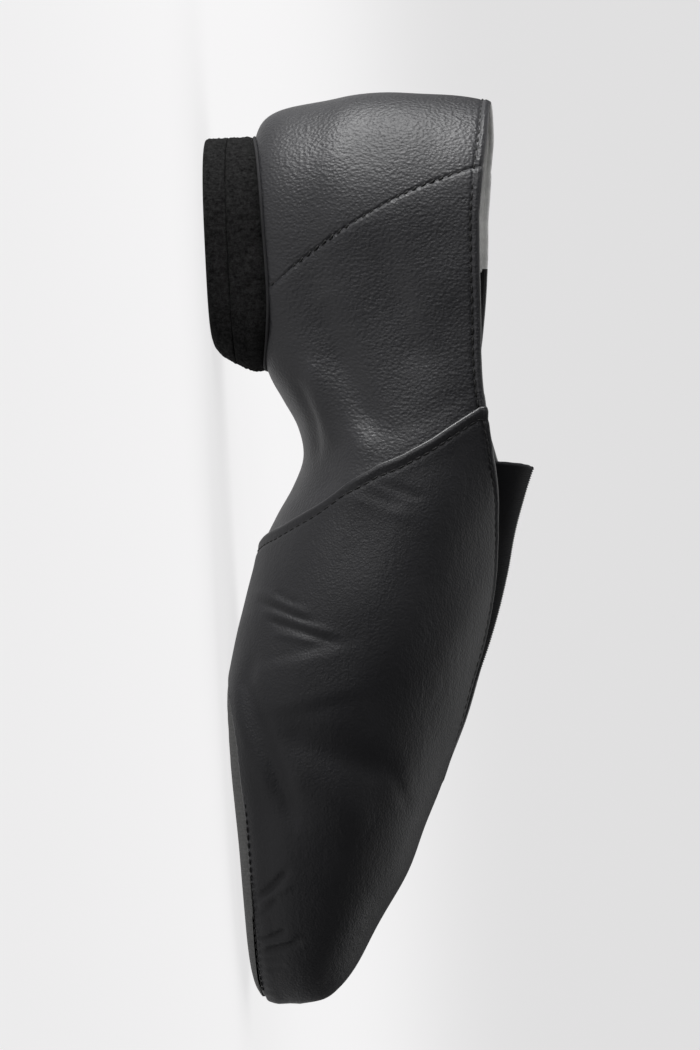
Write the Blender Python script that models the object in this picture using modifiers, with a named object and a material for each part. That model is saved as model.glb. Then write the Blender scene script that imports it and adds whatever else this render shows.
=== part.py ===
# A soft slip-on jazz shoe with a split sole, left foot, standing on its heel and the ball of its sole.
# The toe points along +X, the outer side of the foot along +Y, and the floor is at Z 0. Metres.
import math

import bmesh
import bpy
from mathutils import Vector
from mathutils.bvhtree import BVHTree

for old in list(bpy.data.objects):
    bpy.data.objects.remove(old, do_unlink=True)

# Driving dimensions
LENGTH = 0.246
BALL_WIDTH = 0.082
INSTEP_HEIGHT = 0.082
COLLAR_HEIGHT = 0.0775
SEAT_HEIGHT = 0.0125
HEEL_CENTRE = 0.038
WALL = 0.0014
VAMP_STEP = 0.0009
GAP = 0.0003
SOLE_LEAST = 0.0016
SOLE_LAG = 0.0005
SOLE_TIP_CLEAR = 0.0010
ELASTIC = 0.0011
ELASTIC_OVERLAP = 0.005
ELASTIC_BULGE = 0.0024
ELASTIC_RISE = 0.006
EDGE_MARGIN = 0.0016
INSOLE = 0.0020
INSOLE_CLEAR = 0.0008
LIFT_HEIGHT = 0.0061
HEEL_HALF_WIDTH = 0.0255
HEEL_BACK = 0.0103
HEEL_BEVEL = 0.0005
HEEL_RIM = 0.0012
HEEL_CUP_FORWARD = 0.004

# Sections across the foot, one row each, from the heel centre to the tip of the toe.
# Columns: x as a share of LENGTH; underside, widest height and crest as shares of INSTEP_HEIGHT;
# inner half width, outer half width and middle line as shares of BALL_WIDTH;
# squareness of the underside and of the top; lift of the inner arch as a share of INSTEP_HEIGHT.
SECTIONS = (
    (0.1545, 0.1524, 0.476, 1.366, 0.354, 0.354, 0.000, 7.0, 2.20, 0.000),
    (0.2114, 0.1524, 0.488, 1.341, 0.350, 0.352, 0.000, 6.5, 2.20, 0.000),
    (0.2683, 0.1561, 0.512, 1.256, 0.344, 0.352, 0.000, 6.0, 2.15, 0.000),
    (0.3008, 0.1700, 0.524, 1.195, 0.344, 0.359, 0.000, 5.0, 2.10, 0.012),
    (0.3333, 0.2170, 0.537, 1.134, 0.349, 0.370, -0.004, 4.0, 2.05, 0.024),
    (0.3659, 0.2600, 0.545, 1.082, 0.359, 0.384, -0.007, 3.4, 2.00, 0.037),
    (0.3984, 0.2740, 0.547, 1.040, 0.371, 0.402, -0.012, 3.0, 2.00, 0.043),
    (0.4309, 0.2350, 0.530, 0.999, 0.388, 0.424, -0.015, 2.8, 2.00, 0.049),
    (0.4634, 0.1730, 0.498, 0.966, 0.407, 0.446, -0.017, 2.8, 2.00, 0.049),
    (0.4959, 0.1210, 0.460, 0.939, 0.427, 0.466, -0.020, 2.9, 2.00, 0.049),
    (0.5366, 0.0750, 0.411, 0.916, 0.449, 0.487, -0.022, 3.1, 2.00, 0.037),
    (0.5772, 0.0380, 0.367, 0.888, 0.468, 0.504, -0.024, 3.4, 2.00, 0.018),
    (0.6179, 0.0122, 0.330, 0.852, 0.482, 0.516, -0.024, 3.8, 2.00, 0.006),
    (0.6585, -0.0061, 0.306, 0.807, 0.488, 0.522, -0.024, 4.0, 2.00, 0.000),
    (0.6992, -0.0073, 0.281, 0.763, 0.485, 0.520, -0.024, 4.0, 2.00, 0.000),
    (0.7398, -0.0040, 0.262, 0.711, 0.472, 0.510, -0.026, 4.0, 2.00, 0.000),
    (0.7805, 0.0020, 0.248, 0.661, 0.449, 0.488, -0.028, 4.0, 2.05, 0.000),
    (0.8211, 0.0080, 0.236, 0.603, 0.421, 0.462, -0.032, 3.9, 2.10, 0.000),
    (0.8618, 0.0115, 0.224, 0.545, 0.387, 0.426, -0.037, 3.8, 2.10, 0.000),
    (0.9024, 0.0145, 0.211, 0.479, 0.341, 0.375, -0.041, 3.6, 2.10, 0.000),
    (0.9350, 0.0175, 0.199, 0.419, 0.288, 0.315, -0.045, 3.4, 2.10, 0.000),
    (0.9634, 0.0245, 0.189, 0.360, 0.223, 0.242, -0.048, 3.0, 2.10, 0.000),
    (0.9837, 0.0400, 0.179, 0.307, 0.151, 0.162, -0.049, 2.6, 2.10, 0.000),
    (0.9959, 0.0740, 0.174, 0.256, 0.076, 0.080, -0.049, 2.3, 2.00, 0.000),
    (1.0000, 0.1735, 0.175, 0.1765, 0.000, 0.000, -0.049, 2.0, 2.00, 0.000),
)
# Back of the heel: widest height and virtual crest as shares of INSTEP_HEIGHT, squareness below and above.
BACK = (0.567, 1.341, 7.0, 2.20)
# Edge of the collar from the back to the vamp: x as a share of LENGTH, height as a share of COLLAR_HEIGHT.
COLLAR = (
    (0.000, 1.000), (0.016, 1.000), (0.056, 0.991), (0.091, 0.973), (0.145, 0.953),
    (0.206, 0.946), (0.268, 0.944), (0.339, 0.941), (0.355, 0.946),
)
# Edge of the throat from the collar to its tip: x as a share of LENGTH, half gap as a share of BALL_WIDTH.
THROAT = (
    (0.355, 0.276), (0.382, 0.263), (0.409, 0.245), (0.435, 0.216), (0.460, 0.185), (0.498, 0.143),
    (0.549, 0.116), (0.606, 0.095), (0.663, 0.076), (0.711, 0.057), (0.740, 0.040), (0.756, 0.024),
    (0.766, 0.000),
)
# Seam of the vamp over the quarters: x as a share of LENGTH, height as a share of INSTEP_HEIGHT.
VAMP_SEAM = (
    (0.355, 0.878), (0.367, 0.817), (0.388, 0.715), (0.405, 0.612), (0.419, 0.511), (0.433, 0.410),
    (0.452, 0.309), (0.463, 0.241), (0.476, 0.174), (0.492, 0.1145),
)
# Seam of the forefoot sole: x as a share of LENGTH, height as a share of INSTEP_HEIGHT.
SOLE_SEAM = (
    (0.600, 0.033), (0.675, 0.034), (0.707, 0.044), (0.752, 0.050), (0.841, 0.055), (0.919, 0.059),
    (0.951, 0.066), (0.972, 0.077), (0.986, 0.0805), (1.000, 0.0805),
)
SOLE_BACK = 0.620 * LENGTH
SOLE_FULL = 0.690 * LENGTH
SEAM_MIDDLE = 0.423 * LENGTH
THROAT_TIP = THROAT[-1][0] * LENGTH
GORE_END = 0.797 * LENGTH
GORE_TOP = 0.424 * LENGTH
GORE_SLANT = 0.0155 * LENGTH
INSOLE_TIP = 0.962 * LENGTH
# Front of the heel block from the floor up: height and reach in front of HEEL_CENTRE, as shares of LENGTH.
BREAST = (
    (0.0000, 0.1030), (0.0020, 0.1090), (0.0069, 0.1190), (0.0171, 0.1310), (0.0260, 0.1385),
    (0.0382, 0.1440), (0.0600, 0.1490),
)


# Reading the tables
def smooth(value):
    value = min(1.0, max(0.0, value))
    return value * value * (3.0 - 2.0 * value)


def between(table, value):
    """Second column of a two-column table at a value of the first, in straight lines."""
    if value <= table[0][0]:
        return table[0][1]
    for (a, low), (b, high) in zip(table, table[1:]):
        if value <= b:
            return low + (high - low) * (value - a) / (b - a)
    return table[-1][1]


def row_at(place):
    """All the columns of SECTIONS at a place between rows, on a smooth curve through them."""
    last = len(SECTIONS) - 1
    place = min(last - 1e-9, max(0.0, place))
    i = int(place)
    t = place - i
    out = []
    for column in range(10):
        p1 = SECTIONS[i][column]
        p2 = SECTIONS[i + 1][column]
        p0 = SECTIONS[i - 1][column] if i > 0 else p1
        p3 = SECTIONS[i + 2][column] if i + 2 <= last else 2 * p2 - p1
        m1 = 0.5 * (p2 - p0)
        m2 = 0.5 * (p3 - p1)
        a = 2 * t**3 - 3 * t**2 + 1
        b = t**3 - 2 * t**2 + t
        c = -2 * t**3 + 3 * t**2
        d = t**3 - t**2
        out.append(a * p1 + b * m1 + c * p2 + d * m2)
    return out


def place_of(x):
    """Where x falls between the rows of SECTIONS."""
    low = 0.0
    high = len(SECTIONS) - 1.0
    for _ in range(40):
        middle = 0.5 * (low + high)
        if row_at(middle)[0] * LENGTH < x:
            low = middle
        else:
            high = middle
    return 0.5 * (low + high)


# The form of the shoe: a curve of variable squareness below the widest height and another above it
def curve(angle, square_below, square_above):
    """Level and upright share of the half section at an angle from -90 to 90 degrees."""
    c = max(0.0, math.cos(angle))
    s = abs(math.sin(angle))
    if angle < 0:
        wall = min(2.4, square_below)
        n = wall + (square_below - wall) * smooth((math.degrees(-angle) - 15.0) / 60.0)
    else:
        n = square_above
    r = (c**n + s**n) ** (-1.0 / n)
    return c * r, s * r * (1.0 if angle >= 0 else -1.0)


def section(x, side, angle, inset=0.0):
    """Point of the outer surface in the cross section at x; inset moves it towards the foot."""
    row = row_at(place_of(x))
    low = row[1] * INSTEP_HEIGHT + inset
    wide = row[2] * INSTEP_HEIGHT
    crest = row[3] * INSTEP_HEIGHT - inset
    half = (row[4] if side < 0 else row[5]) * BALL_WIDTH - inset
    level, up = curve(angle, row[7], row[8])
    z = wide + up * ((crest - wide) if up > 0 else (wide - low))
    if side < 0 and angle < 0:
        z += row[9] * INSTEP_HEIGHT * math.sin(2.0 * (angle + math.pi / 2)) ** 2
    return Vector((x, row[6] * BALL_WIDTH + side * level * half, z))


def heel_point(turn, side, angle, inset=0.0):
    """Point of the rounded back, turn 0 straight behind and 90 degrees at the heel centre."""
    flank = section(HEEL_CENTRE, side, angle, inset)
    level, up = curve(angle, BACK[2], BACK[3])
    wide = BACK[0] * INSTEP_HEIGHT
    low = SEAT_HEIGHT + inset
    crest = BACK[1] * INSTEP_HEIGHT - inset
    z = wide + up * ((crest - wide) if up > 0 else (wide - low))
    c = math.cos(turn)
    s = math.sin(turn)
    return Vector((HEEL_CENTRE - c * level * (HEEL_CENTRE - inset), s * flank.y, c * c * z + s * s * flank.z))


def solve(function, target, low, high):
    """Angle at which a function, rising or falling, reaches the target."""
    rising = function(high) > function(low)
    for _ in range(36):
        middle = 0.5 * (low + high)
        if (function(middle) < target) == rising:
            low = middle
        else:
            high = middle
    return 0.5 * (low + high)


BOTTOM = -math.pi / 2
TOP = math.pi / 2


def throat_gap(x):
    return between(THROAT, x / LENGTH) * BALL_WIDTH


def top_angle(x, side):
    """Angle at which the upper ends at the collar or the throat, in front of the heel centre."""
    if x >= THROAT_TIP:
        return TOP
    if x > THROAT[0][0] * LENGTH:
        middle = section(x, side, TOP).y
        return solve(lambda a: abs(section(x, side, a).y - middle), throat_gap(x), 0.0, TOP)
    height = between(COLLAR, x / LENGTH) * COLLAR_HEIGHT
    return solve(lambda a: section(x, side, a).z, height, 0.0, TOP)


def back_angle(turn, side):
    """Angle at which the collar ends round the back."""
    reach = HEEL_CENTRE * (1.0 - 0.9 * math.cos(turn))
    height = between(COLLAR, reach / LENGTH) * COLLAR_HEIGHT
    return solve(lambda a: heel_point(turn, side, a).z, height, 0.0, TOP)


def sole_angle(x, side, back=SOLE_BACK):
    """Angle at which the upper starts above the forefoot sole; straight down where it is closed."""
    height = between(SOLE_SEAM, x / LENGTH) * INSTEP_HEIGHT
    if x <= back or section(x, side, BOTTOM).z >= height:
        return BOTTOM
    full = solve(lambda a: section(x, side, a).z, height, BOTTOM, 0.0)
    share = min(1.0, (x - back) / (SOLE_FULL - back))
    return BOTTOM + (full - BOTTOM) * math.sqrt(1.0 - (1.0 - share) ** 2)


def seam_shift():
    """For each row of VAMP_SEAM, its angle and its distance in front of the middle of the seam."""
    rows = []
    for x, z in VAMP_SEAM:
        at = x * LENGTH
        rows.append((solve(lambda a: section(at, 1, a).z, z * INSTEP_HEIGHT, BOTTOM, TOP), at - SEAM_MIDDLE))
    return sorted(rows)


SHIFT = seam_shift()


def leaned(x, angle):
    """Moves a place along the foot so that the column at the middle of the seam follows the seam."""
    if x < SEAM_MIDDLE:
        share = smooth((x - 0.20 * LENGTH) / (SEAM_MIDDLE - 0.20 * LENGTH))
    else:
        share = smooth((0.69 * LENGTH - x) / (0.69 * LENGTH - SEAM_MIDDLE))
    return x + share * between(SHIFT, angle)


# Objects and materials
shoe = bpy.data.collections.new("jazz_shoe")
bpy.context.scene.collection.children.link(shoe)


def material(name, colour, rough):
    made = bpy.data.materials.new(name)
    made.use_nodes = True
    shader = made.node_tree.nodes["Principled BSDF"]
    shader.inputs["Base Color"].default_value = (*colour, 1.0)
    shader.inputs["Roughness"].default_value = rough
    return made


def node(name, points, faces, look, sharp=40.0):
    """Closed or open mesh from points and faces, with doubled points joined."""
    mesh = bpy.data.meshes.new(name)
    mesh.from_pydata([tuple(p) for p in points], [], faces)
    work = bmesh.new()
    work.from_mesh(mesh)
    bmesh.ops.remove_doubles(work, verts=work.verts, dist=0.00002)
    bmesh.ops.dissolve_degenerate(work, edges=work.edges, dist=0.00001)
    bmesh.ops.recalc_face_normals(work, faces=work.faces)
    work.to_mesh(mesh)
    work.free()
    for face in mesh.polygons:
        face.use_smooth = True
    mesh.set_sharp_from_angle(angle=math.radians(sharp))
    mesh.materials.append(look)
    made = bpy.data.objects.new(name, mesh)
    shoe.objects.link(made)
    return made


def grid_faces(columns, rows, start=0):
    """Quads between neighbouring columns of equal length."""
    faces = []
    for i in range(columns - 1):
        for j in range(rows - 1):
            a = start + i * rows + j
            faces.append((a, a + rows, a + rows + 1, a + 1))
    return faces


# Upper: one surface from the seams up to the collar, thickened inwards
STATIONS = [share * LENGTH for share in (
    0.1545, 0.178, 0.202, 0.227, 0.252, 0.277, 0.302, 0.327, 0.352, 0.377, 0.400, 0.423,
    0.4245, 0.446, 0.470, 0.494, 0.518, 0.543, 0.568, 0.593, 0.607, 0.620, 0.6215, 0.627, 0.636, 0.650,
    0.669, 0.690, 0.711, 0.732, 0.750, 0.760, 0.766, 0.785, 0.806, 0.828, 0.850, 0.872,
    0.893, 0.913, 0.932, 0.950, 0.965, 0.977, 0.986, 0.9915, 0.9945, 0.998, 1.0,
)]
TURNS = 9
ROWS = 17


def outward(x, side, angle):
    """Direction out of the shoe at a point of a section."""
    step = 0.002
    along = section(min(LENGTH - 1e-5, x + step), side, angle) - section(x - step, side, angle)
    across = section(x, side, angle + 0.01) - section(x, side, angle - 0.01)
    direction = along.cross(across) * side * -1.0
    return direction.normalized()


def step_at(x, side, angle):
    """How far the vamp stands out at a place: most at its edge, nothing further on."""
    if x <= SEAM_MIDDLE:
        return 0.0
    return VAMP_STEP * (1.0 - smooth((x - SEAM_MIDDLE) / (0.11 * LENGTH)))


def upper_columns(side):
    """Columns of points from the back round one side to the toe, and how thick the wall is at each."""
    columns = []
    for t in range(TURNS):
        turn = math.pi / 2 * t / TURNS
        end = back_angle(turn, side)
        angles = [BOTTOM + (end - BOTTOM) * j / (ROWS - 1) for j in range(ROWS)]
        columns.append([(heel_point(turn, side, a), WALL) for a in angles])
    for x in STATIONS:
        end = top_angle(leaned(x, TOP), side)
        start = sole_angle(leaned(x, BOTTOM), side)
        points = []
        for j in range(ROWS):
            a = max(start, BOTTOM + (end - BOTTOM) * j / (ROWS - 1))
            raised = step_at(x, side, a)
            p = section(leaned(x, a), side, a)
            if raised > 0.0:
                p = p + outward(leaned(x, a), side, a) * raised
            points.append((p, WALL + raised))
        columns.append(points)
    return columns


leather = material("black_leather", (0.020, 0.020, 0.022), 0.42)
points = []
walls = []
faces = []
for side in (-1, 1):
    columns = upper_columns(side)
    start = len(points)
    for column in columns:
        points.extend(p for p, _ in column)
        walls.extend(w for _, w in column)
    faces.extend(grid_faces(len(columns), ROWS, start))
upper = node("upper", points, faces, leather)
thick = WALL + VAMP_STEP
group = upper.vertex_groups.new(name="wall")
bare = sorted(zip(((round(p.x, 5), round(p.y, 5), round(p.z, 5)) for p in points), walls))
known = dict(bare)
for vertex in upper.data.vertices:
    key = (round(vertex.co.x, 5), round(vertex.co.y, 5), round(vertex.co.z, 5))
    group.add([vertex.index], known.get(key, WALL) / thick, "REPLACE")
shell = upper.modifiers.new("wall", "SOLIDIFY")
shell.thickness = thick
shell.offset = -1.0
shell.vertex_group = "wall"
shell.use_rim = True

# Elastic in the throat, tucked under both vamp edges
elastic = material("black_elastic", (0.012, 0.012, 0.013), 0.75)
GORE_LONG = 15
GORE_ACROSS = 12


def gore_point(x, share, inset):
    """Point of the elastic at a share of its half width, -1 inner edge, 1 outer edge."""
    side = -1 if share < 0 else 1
    gap = throat_gap(x)
    reach = gap + ELASTIC_OVERLAP
    want = abs(share) * reach
    middle = section(x, side, TOP).y
    angle = solve(lambda a: abs(section(x, side, a).y - middle), want, 0.0, TOP)
    tucked = WALL + VAMP_STEP * (1.0 - smooth((x - SEAM_MIDDLE) / (0.11 * LENGTH))) + GAP
    tucked += 1.5 * GAP * smooth((x - 0.52 * LENGTH) / (0.10 * LENGTH))
    depth = tucked - (tucked - 0.2 * WALL) * smooth((gap - want - EDGE_MARGIN) / ELASTIC_RISE)
    freed = smooth((gap - want - EDGE_MARGIN) / (1.6 * ELASTIC_RISE))
    depth -= ELASTIC_BULGE * smooth((THROAT_TIP - x) / (0.36 * LENGTH)) * freed
    return section(x, side, angle, depth + inset)


gore_points = []
for face_side in (0.0, ELASTIC):
    for i in range(GORE_LONG + 1):
        for j in range(GORE_ACROSS + 1):
            share = 2.0 * j / GORE_ACROSS - 1.0
            begin = GORE_TOP - GORE_SLANT * share * share
            gore_points.append(gore_point(begin + (GORE_END - begin) * i / GORE_LONG, share, face_side))
across = GORE_ACROSS + 1
along = GORE_LONG + 1
half = across * along
gore_faces = grid_faces(along, across)
gore_faces += [tuple(reversed([v + half for v in f])) for f in grid_faces(along, across)]
for i in range(GORE_LONG):
    for j in (0, GORE_ACROSS):
        a = i * across + j
        gore_faces.append((a, a + half, a + across + half, a + across))
for j in range(GORE_ACROSS):
    for i in (0, GORE_LONG):
        a = i * across + j
        gore_faces.append((a, a + 1, a + 1 + half, a + half))
gore = node("elastic_gore", gore_points, gore_faces, elastic)

# Forefoot sole: the form below the seam, filled up to a flat top
suede = material("black_suede", (0.030, 0.030, 0.031), 0.90)
SOLE_STATIONS = [share * LENGTH for share in (
    0.6225, 0.6235, 0.627, 0.634, 0.645, 0.660, 0.680, 0.705, 0.730, 0.760, 0.790, 0.820, 0.850, 0.876,
    0.900, 0.922, 0.941, 0.957, 0.969, 0.978, 0.983, 0.9855,
)]
SOLE_ACROSS = 8


def sole_edge(x, side):
    """Angle of the rim of the sole, a gap inside the upper."""
    open_to = sole_angle(x, side, SOLE_BACK + SOLE_LAG)
    if open_to <= BOTTOM:
        return BOTTOM
    ahead = min(LENGTH, x + SOLE_TIP_CLEAR)
    middle = section(x, side, BOTTOM).y
    limit = abs(section(ahead, side, sole_angle(ahead, side)).y - section(ahead, side, BOTTOM).y)
    if x > 0.90 * LENGTH and limit < abs(section(x, side, open_to).y - middle):
        open_to = solve(lambda a: abs(section(x, side, a).y - middle), limit, BOTTOM, 0.0)
    run = (section(x, side, open_to) - section(x, side, open_to - 0.01)).length / 0.01
    return max(BOTTOM, open_to - 1.4 * GAP / run)


sole_low = []
sole_high = []
for x in SOLE_STATIONS:
    rim = {side: sole_edge(x, side) for side in (-1, 1)}
    floor_here = max(0.0, section(x, 1, BOTTOM).z)
    top = max(min(section(x, side, rim[side]).z for side in (-1, 1)), floor_here + SOLE_LEAST)
    for j in range(2 * SOLE_ACROSS + 1):
        share = j / SOLE_ACROSS - 1.0
        side = -1 if share < 0 else 1
        angle = BOTTOM + (rim[side] - BOTTOM) * math.sin(abs(share) * math.pi / 2)
        p = section(x, side, angle)
        p.z = max(0.0, p.z)
        sole_low.append(p)
        sole_high.append(Vector((p.x, p.y, max(p.z, top))))
wide = 2 * SOLE_ACROSS + 1
count = len(SOLE_STATIONS)
half = wide * count
sole_faces = grid_faces(count, wide)
sole_faces += [tuple(reversed([v + half for v in f])) for f in grid_faces(count, wide)]
for i in range(count - 1):
    for j in (0, wide - 1):
        a = i * wide + j
        sole_faces.append((a, a + half, a + wide + half, a + wide))
for j in range(wide - 1):
    for i in (0, count - 1):
        a = i * wide + j
        sole_faces.append((a, a + 1, a + 1 + half, a + half))
node("forefoot_sole", sole_low + sole_high, sole_faces, suede)


def sole_top(x):
    """Height of the top of the forefoot sole, or none behind it."""
    if x <= SOLE_BACK:
        return -1.0
    rims = [section(x, side, sole_edge(x, side)).z for side in (-1, 1)]
    return max(min(rims), max(0.0, section(x, 1, BOTTOM).z) + SOLE_LEAST)


# Insole: follows the seat and the arch inside the wall, flat over the forefoot sole
felt = material("grey_sock", (0.10, 0.10, 0.10), 0.85)
INSOLE_STATIONS = [share * LENGTH for share in (
    0.1545, 0.20, 0.25, 0.29, 0.32, 0.35, 0.38, 0.41, 0.44, 0.47, 0.51, 0.55, 0.59, 0.62, 0.64, 0.67, 0.71, 0.76,
    0.81, 0.85, 0.88, 0.905, 0.926, 0.943, 0.954, 0.960, 0.962,
)]
INSOLE_TURNS = 8
INSOLE_RINGS = 5


def insole_column(place, side, round_back):
    """Points of the underside of the insole from its middle line out to its rim."""
    if round_back:
        def inner(a):
            return heel_point(place, side, a, WALL)
    else:
        def inner(a):
            return section(place, side, a, WALL)
    start = inner(BOTTOM)
    floor_here = start.z if round_back else max(start.z, sole_top(place))
    x = start.x

    def reach(a):
        p = inner(a)
        return math.hypot(p.x - start.x, p.y - start.y)

    most = reach(0.0)
    level = solve(lambda a: inner(a).z, floor_here + 3.0 * GAP, BOTTOM, 0.0)
    edge = min(0.86 * most, max(reach(level) - INSOLE_CLEAR, 0.66 * most if x < SOLE_BACK else 0.0))
    if x > 0.86 * LENGTH:
        edge *= math.sqrt(max(0.0, 1.0 - ((x - 0.86 * LENGTH) / (INSOLE_TIP - 0.86 * LENGTH)) ** 2))
    column = []
    for ring in range(INSOLE_RINGS + 1):
        want = edge * ring / INSOLE_RINGS
        a = solve(reach, want, BOTTOM, 0.0) if want > 0.0 else BOTTOM
        p = inner(a)
        arch = 2.4 * GAP * smooth(1.8 * (1.0 - abs(x - 0.48 * LENGTH) / (0.24 * LENGTH)))
        column.append(Vector((p.x, p.y, max(p.z, floor_here) + 1.4 * GAP + arch)))
    return column


insole_low = []
for side in (-1, 1):
    for t in range(INSOLE_TURNS):
        insole_low.append(insole_column(math.pi / 2 * t / INSOLE_TURNS, side, True))
    for x in INSOLE_STATIONS:
        insole_low.append(insole_column(x, side, False))
per_side = INSOLE_TURNS + len(INSOLE_STATIONS)
ring = INSOLE_RINGS + 1
flat = [p for column in insole_low for p in column]
raised = [p + Vector((0.0, 0.0, INSOLE)) for p in flat]
insole_faces = []
for s in range(2):
    sheet = grid_faces(per_side, ring, s * per_side * ring)
    insole_faces += sheet
    insole_faces += [tuple(reversed([v + len(flat) for v in f])) for f in sheet]
    for i in range(per_side - 1):
        a = (s * per_side + i) * ring + ring - 1
        insole_faces.append((a, a + ring, a + ring + len(flat), a + len(flat)))
node("insole", flat + raised, insole_faces, felt)

# Heel block in two layers, the upper one cupped to the seat
AROUND = 36


def heel_outline(height, shrink=0.0):
    """Ring of the heel block at a height: round behind, squarer and longer in front."""
    ring_points = []
    front = between(BREAST, height / LENGTH) * LENGTH - shrink
    back = HEEL_CENTRE - HEEL_BACK - shrink
    width = HEEL_HALF_WIDTH - shrink
    for i in range(AROUND):
        turn = 2.0 * math.pi * i / AROUND
        c = abs(math.cos(turn))
        s = abs(math.sin(turn))
        ahead = math.cos(turn) > 0
        n = 3.8 if ahead else 2.35
        r = (c**n + s**n) ** (-1.0 / n)
        x = (front if ahead else -back) * c * r
        y = math.copysign(width * s * r, math.sin(turn))
        ring_points.append(Vector((HEEL_CENTRE + x, y, height)))
    return ring_points


def stack(rings):
    """Points and side faces of rings set above each other."""
    made = [p for one in rings for p in one]
    sides = []
    for level in range(len(rings) - 1):
        for i in range(AROUND):
            a = level * AROUND + i
            b = level * AROUND + (i + 1) % AROUND
            sides.append((a, b, b + AROUND, a + AROUND))
    return made, sides


rubber = material("heel_rubber", (0.018, 0.018, 0.018), 0.85)
lift_rings = [heel_outline(0.0, 0.8 * HEEL_BEVEL), heel_outline(HEEL_BEVEL)]
lift_rings += [heel_outline(share * LIFT_HEIGHT) for share in (0.28, 0.65, 0.92)]
lift_rings.append(heel_outline(LIFT_HEIGHT, 0.8 * HEEL_BEVEL))
lift_points, lift_faces = stack(lift_rings)
lift_faces.append(tuple(reversed(range(AROUND))))
lift_faces.append(tuple(range((len(lift_rings) - 1) * AROUND, len(lift_rings) * AROUND)))
node("heel_lift", lift_points, lift_faces, rubber)

seat = BVHTree.FromPolygons([v.co for v in upper.data.vertices], [tuple(p.vertices) for p in upper.data.polygons])


def under_seat(p):
    """The point straight above, a gap below the leather of the seat."""
    heights = []
    for dx, dy in ((0, 0), (1, 0), (-1, 0), (0, 1), (0, -1)):
        start = Vector((p.x + HEEL_RIM * dx, p.y + HEEL_RIM * dy, -LENGTH))
        hit, normal, _, _ = seat.ray_cast(start, Vector((0.0, 0.0, 1.0)))
        if hit is not None:
            heights.append(hit.z - GAP / max(0.5, abs(normal.z)))
    return Vector((p.x, p.y, min(heights)))


block = material("heel_leather", (0.022, 0.022, 0.022), 0.80)
base_start = LIFT_HEIGHT + GAP
base_rings = [heel_outline(base_start, 0.8 * HEEL_BEVEL), heel_outline(base_start + HEEL_BEVEL)]
base_rings.append(heel_outline(0.5 * (base_start + SEAT_HEIGHT)))
rim_outline = heel_outline(SEAT_HEIGHT - HEEL_RIM)
base_rings.append(rim_outline)
for share in (1.0, 0.93, 0.80, 0.62, 0.42, 0.20):
    middle = Vector((HEEL_CENTRE + HEEL_CUP_FORWARD, 0.0, 0.0))
    base_rings.append([under_seat(middle + (p - middle) * share) for p in rim_outline])
base_points, base_faces = stack(base_rings)
base_faces.append(tuple(reversed(range(AROUND))))
base_points.append(under_seat(Vector((HEEL_CENTRE + HEEL_CUP_FORWARD, 0.0, 0.0))))
last_ring = (len(base_rings) - 1) * AROUND
for i in range(AROUND):
    base_faces.append((last_ring + i, last_ring + (i + 1) % AROUND, len(base_points) - 1))
node("heel_base", base_points, base_faces, block)

# Origin at the middle of the bounding box, on the floor
graph = bpy.context.evaluated_depsgraph_get()
corners = []
for made in shoe.objects:
    solid = made.evaluated_get(graph)
    mesh = solid.to_mesh()
    corners += [v.co.copy() for v in mesh.vertices]
    solid.to_mesh_clear()
centre = Vector((
    0.5 * (min(p.x for p in corners) + max(p.x for p in corners)),
    0.5 * (min(p.y for p in corners) + max(p.y for p in corners)),
    min(p.z for p in corners),
))
for made in shoe.objects:
    for vertex in made.data.vertices:
        vertex.co = vertex.co - centre
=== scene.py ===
# %% [markdown]
# This lesson builds the looks of a soft black jazz shoe around a packed, measured model of it. The packed
# model gives the sizes and stays fixed. Everything below is the finer skin that a camera sees: leather
# with folded edges and wrinkles, ribbed elastic, suede, stitches and the lining inside.

import math

import bpy
import numpy as np
from mathutils import Matrix, Vector
from mathutils.bvhtree import BVHTree


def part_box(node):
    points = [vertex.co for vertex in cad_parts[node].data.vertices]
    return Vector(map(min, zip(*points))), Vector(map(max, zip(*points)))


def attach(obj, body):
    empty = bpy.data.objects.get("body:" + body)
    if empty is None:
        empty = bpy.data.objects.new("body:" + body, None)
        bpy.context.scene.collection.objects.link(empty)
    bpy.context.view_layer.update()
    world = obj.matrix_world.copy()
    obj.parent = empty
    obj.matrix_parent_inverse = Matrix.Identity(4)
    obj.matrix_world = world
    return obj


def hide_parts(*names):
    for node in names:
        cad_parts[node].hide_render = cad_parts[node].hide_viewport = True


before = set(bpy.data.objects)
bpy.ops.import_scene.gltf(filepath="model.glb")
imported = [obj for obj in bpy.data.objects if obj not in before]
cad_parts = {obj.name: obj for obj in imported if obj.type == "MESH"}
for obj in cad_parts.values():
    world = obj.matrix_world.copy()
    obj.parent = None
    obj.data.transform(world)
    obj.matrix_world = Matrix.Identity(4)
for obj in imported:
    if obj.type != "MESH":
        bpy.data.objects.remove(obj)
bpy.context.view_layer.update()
low_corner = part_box("upper")[0]
lift_low, lift_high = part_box("heel_lift")
print("nodes:", sorted(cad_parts))

# %% [markdown]
# The measured shoe was made from one table of cross sections, from the heel to the tip of the toe. The
# same table is repeated here, because the fine skin must lie exactly where the measured one lies. Working
# from named sizes and shares of them keeps the two in step and makes a longer or wider shoe easy.

# %% Sizes and section table
LENGTH = 0.246
BALL_WIDTH = 0.082
INSTEP_HEIGHT = 0.082
COLLAR_HEIGHT = 0.0775
SEAT_HEIGHT = 0.0125
HEEL_CENTRE = 0.038
WALL = 0.0014
VAMP_STEP = 0.0009
# Room left between pieces that would touch
HAIR = 0.00004
OFFSET = np.array([low_corner[0], 0.5 * (lift_low[1] + lift_high[1]), 0.0])

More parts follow.
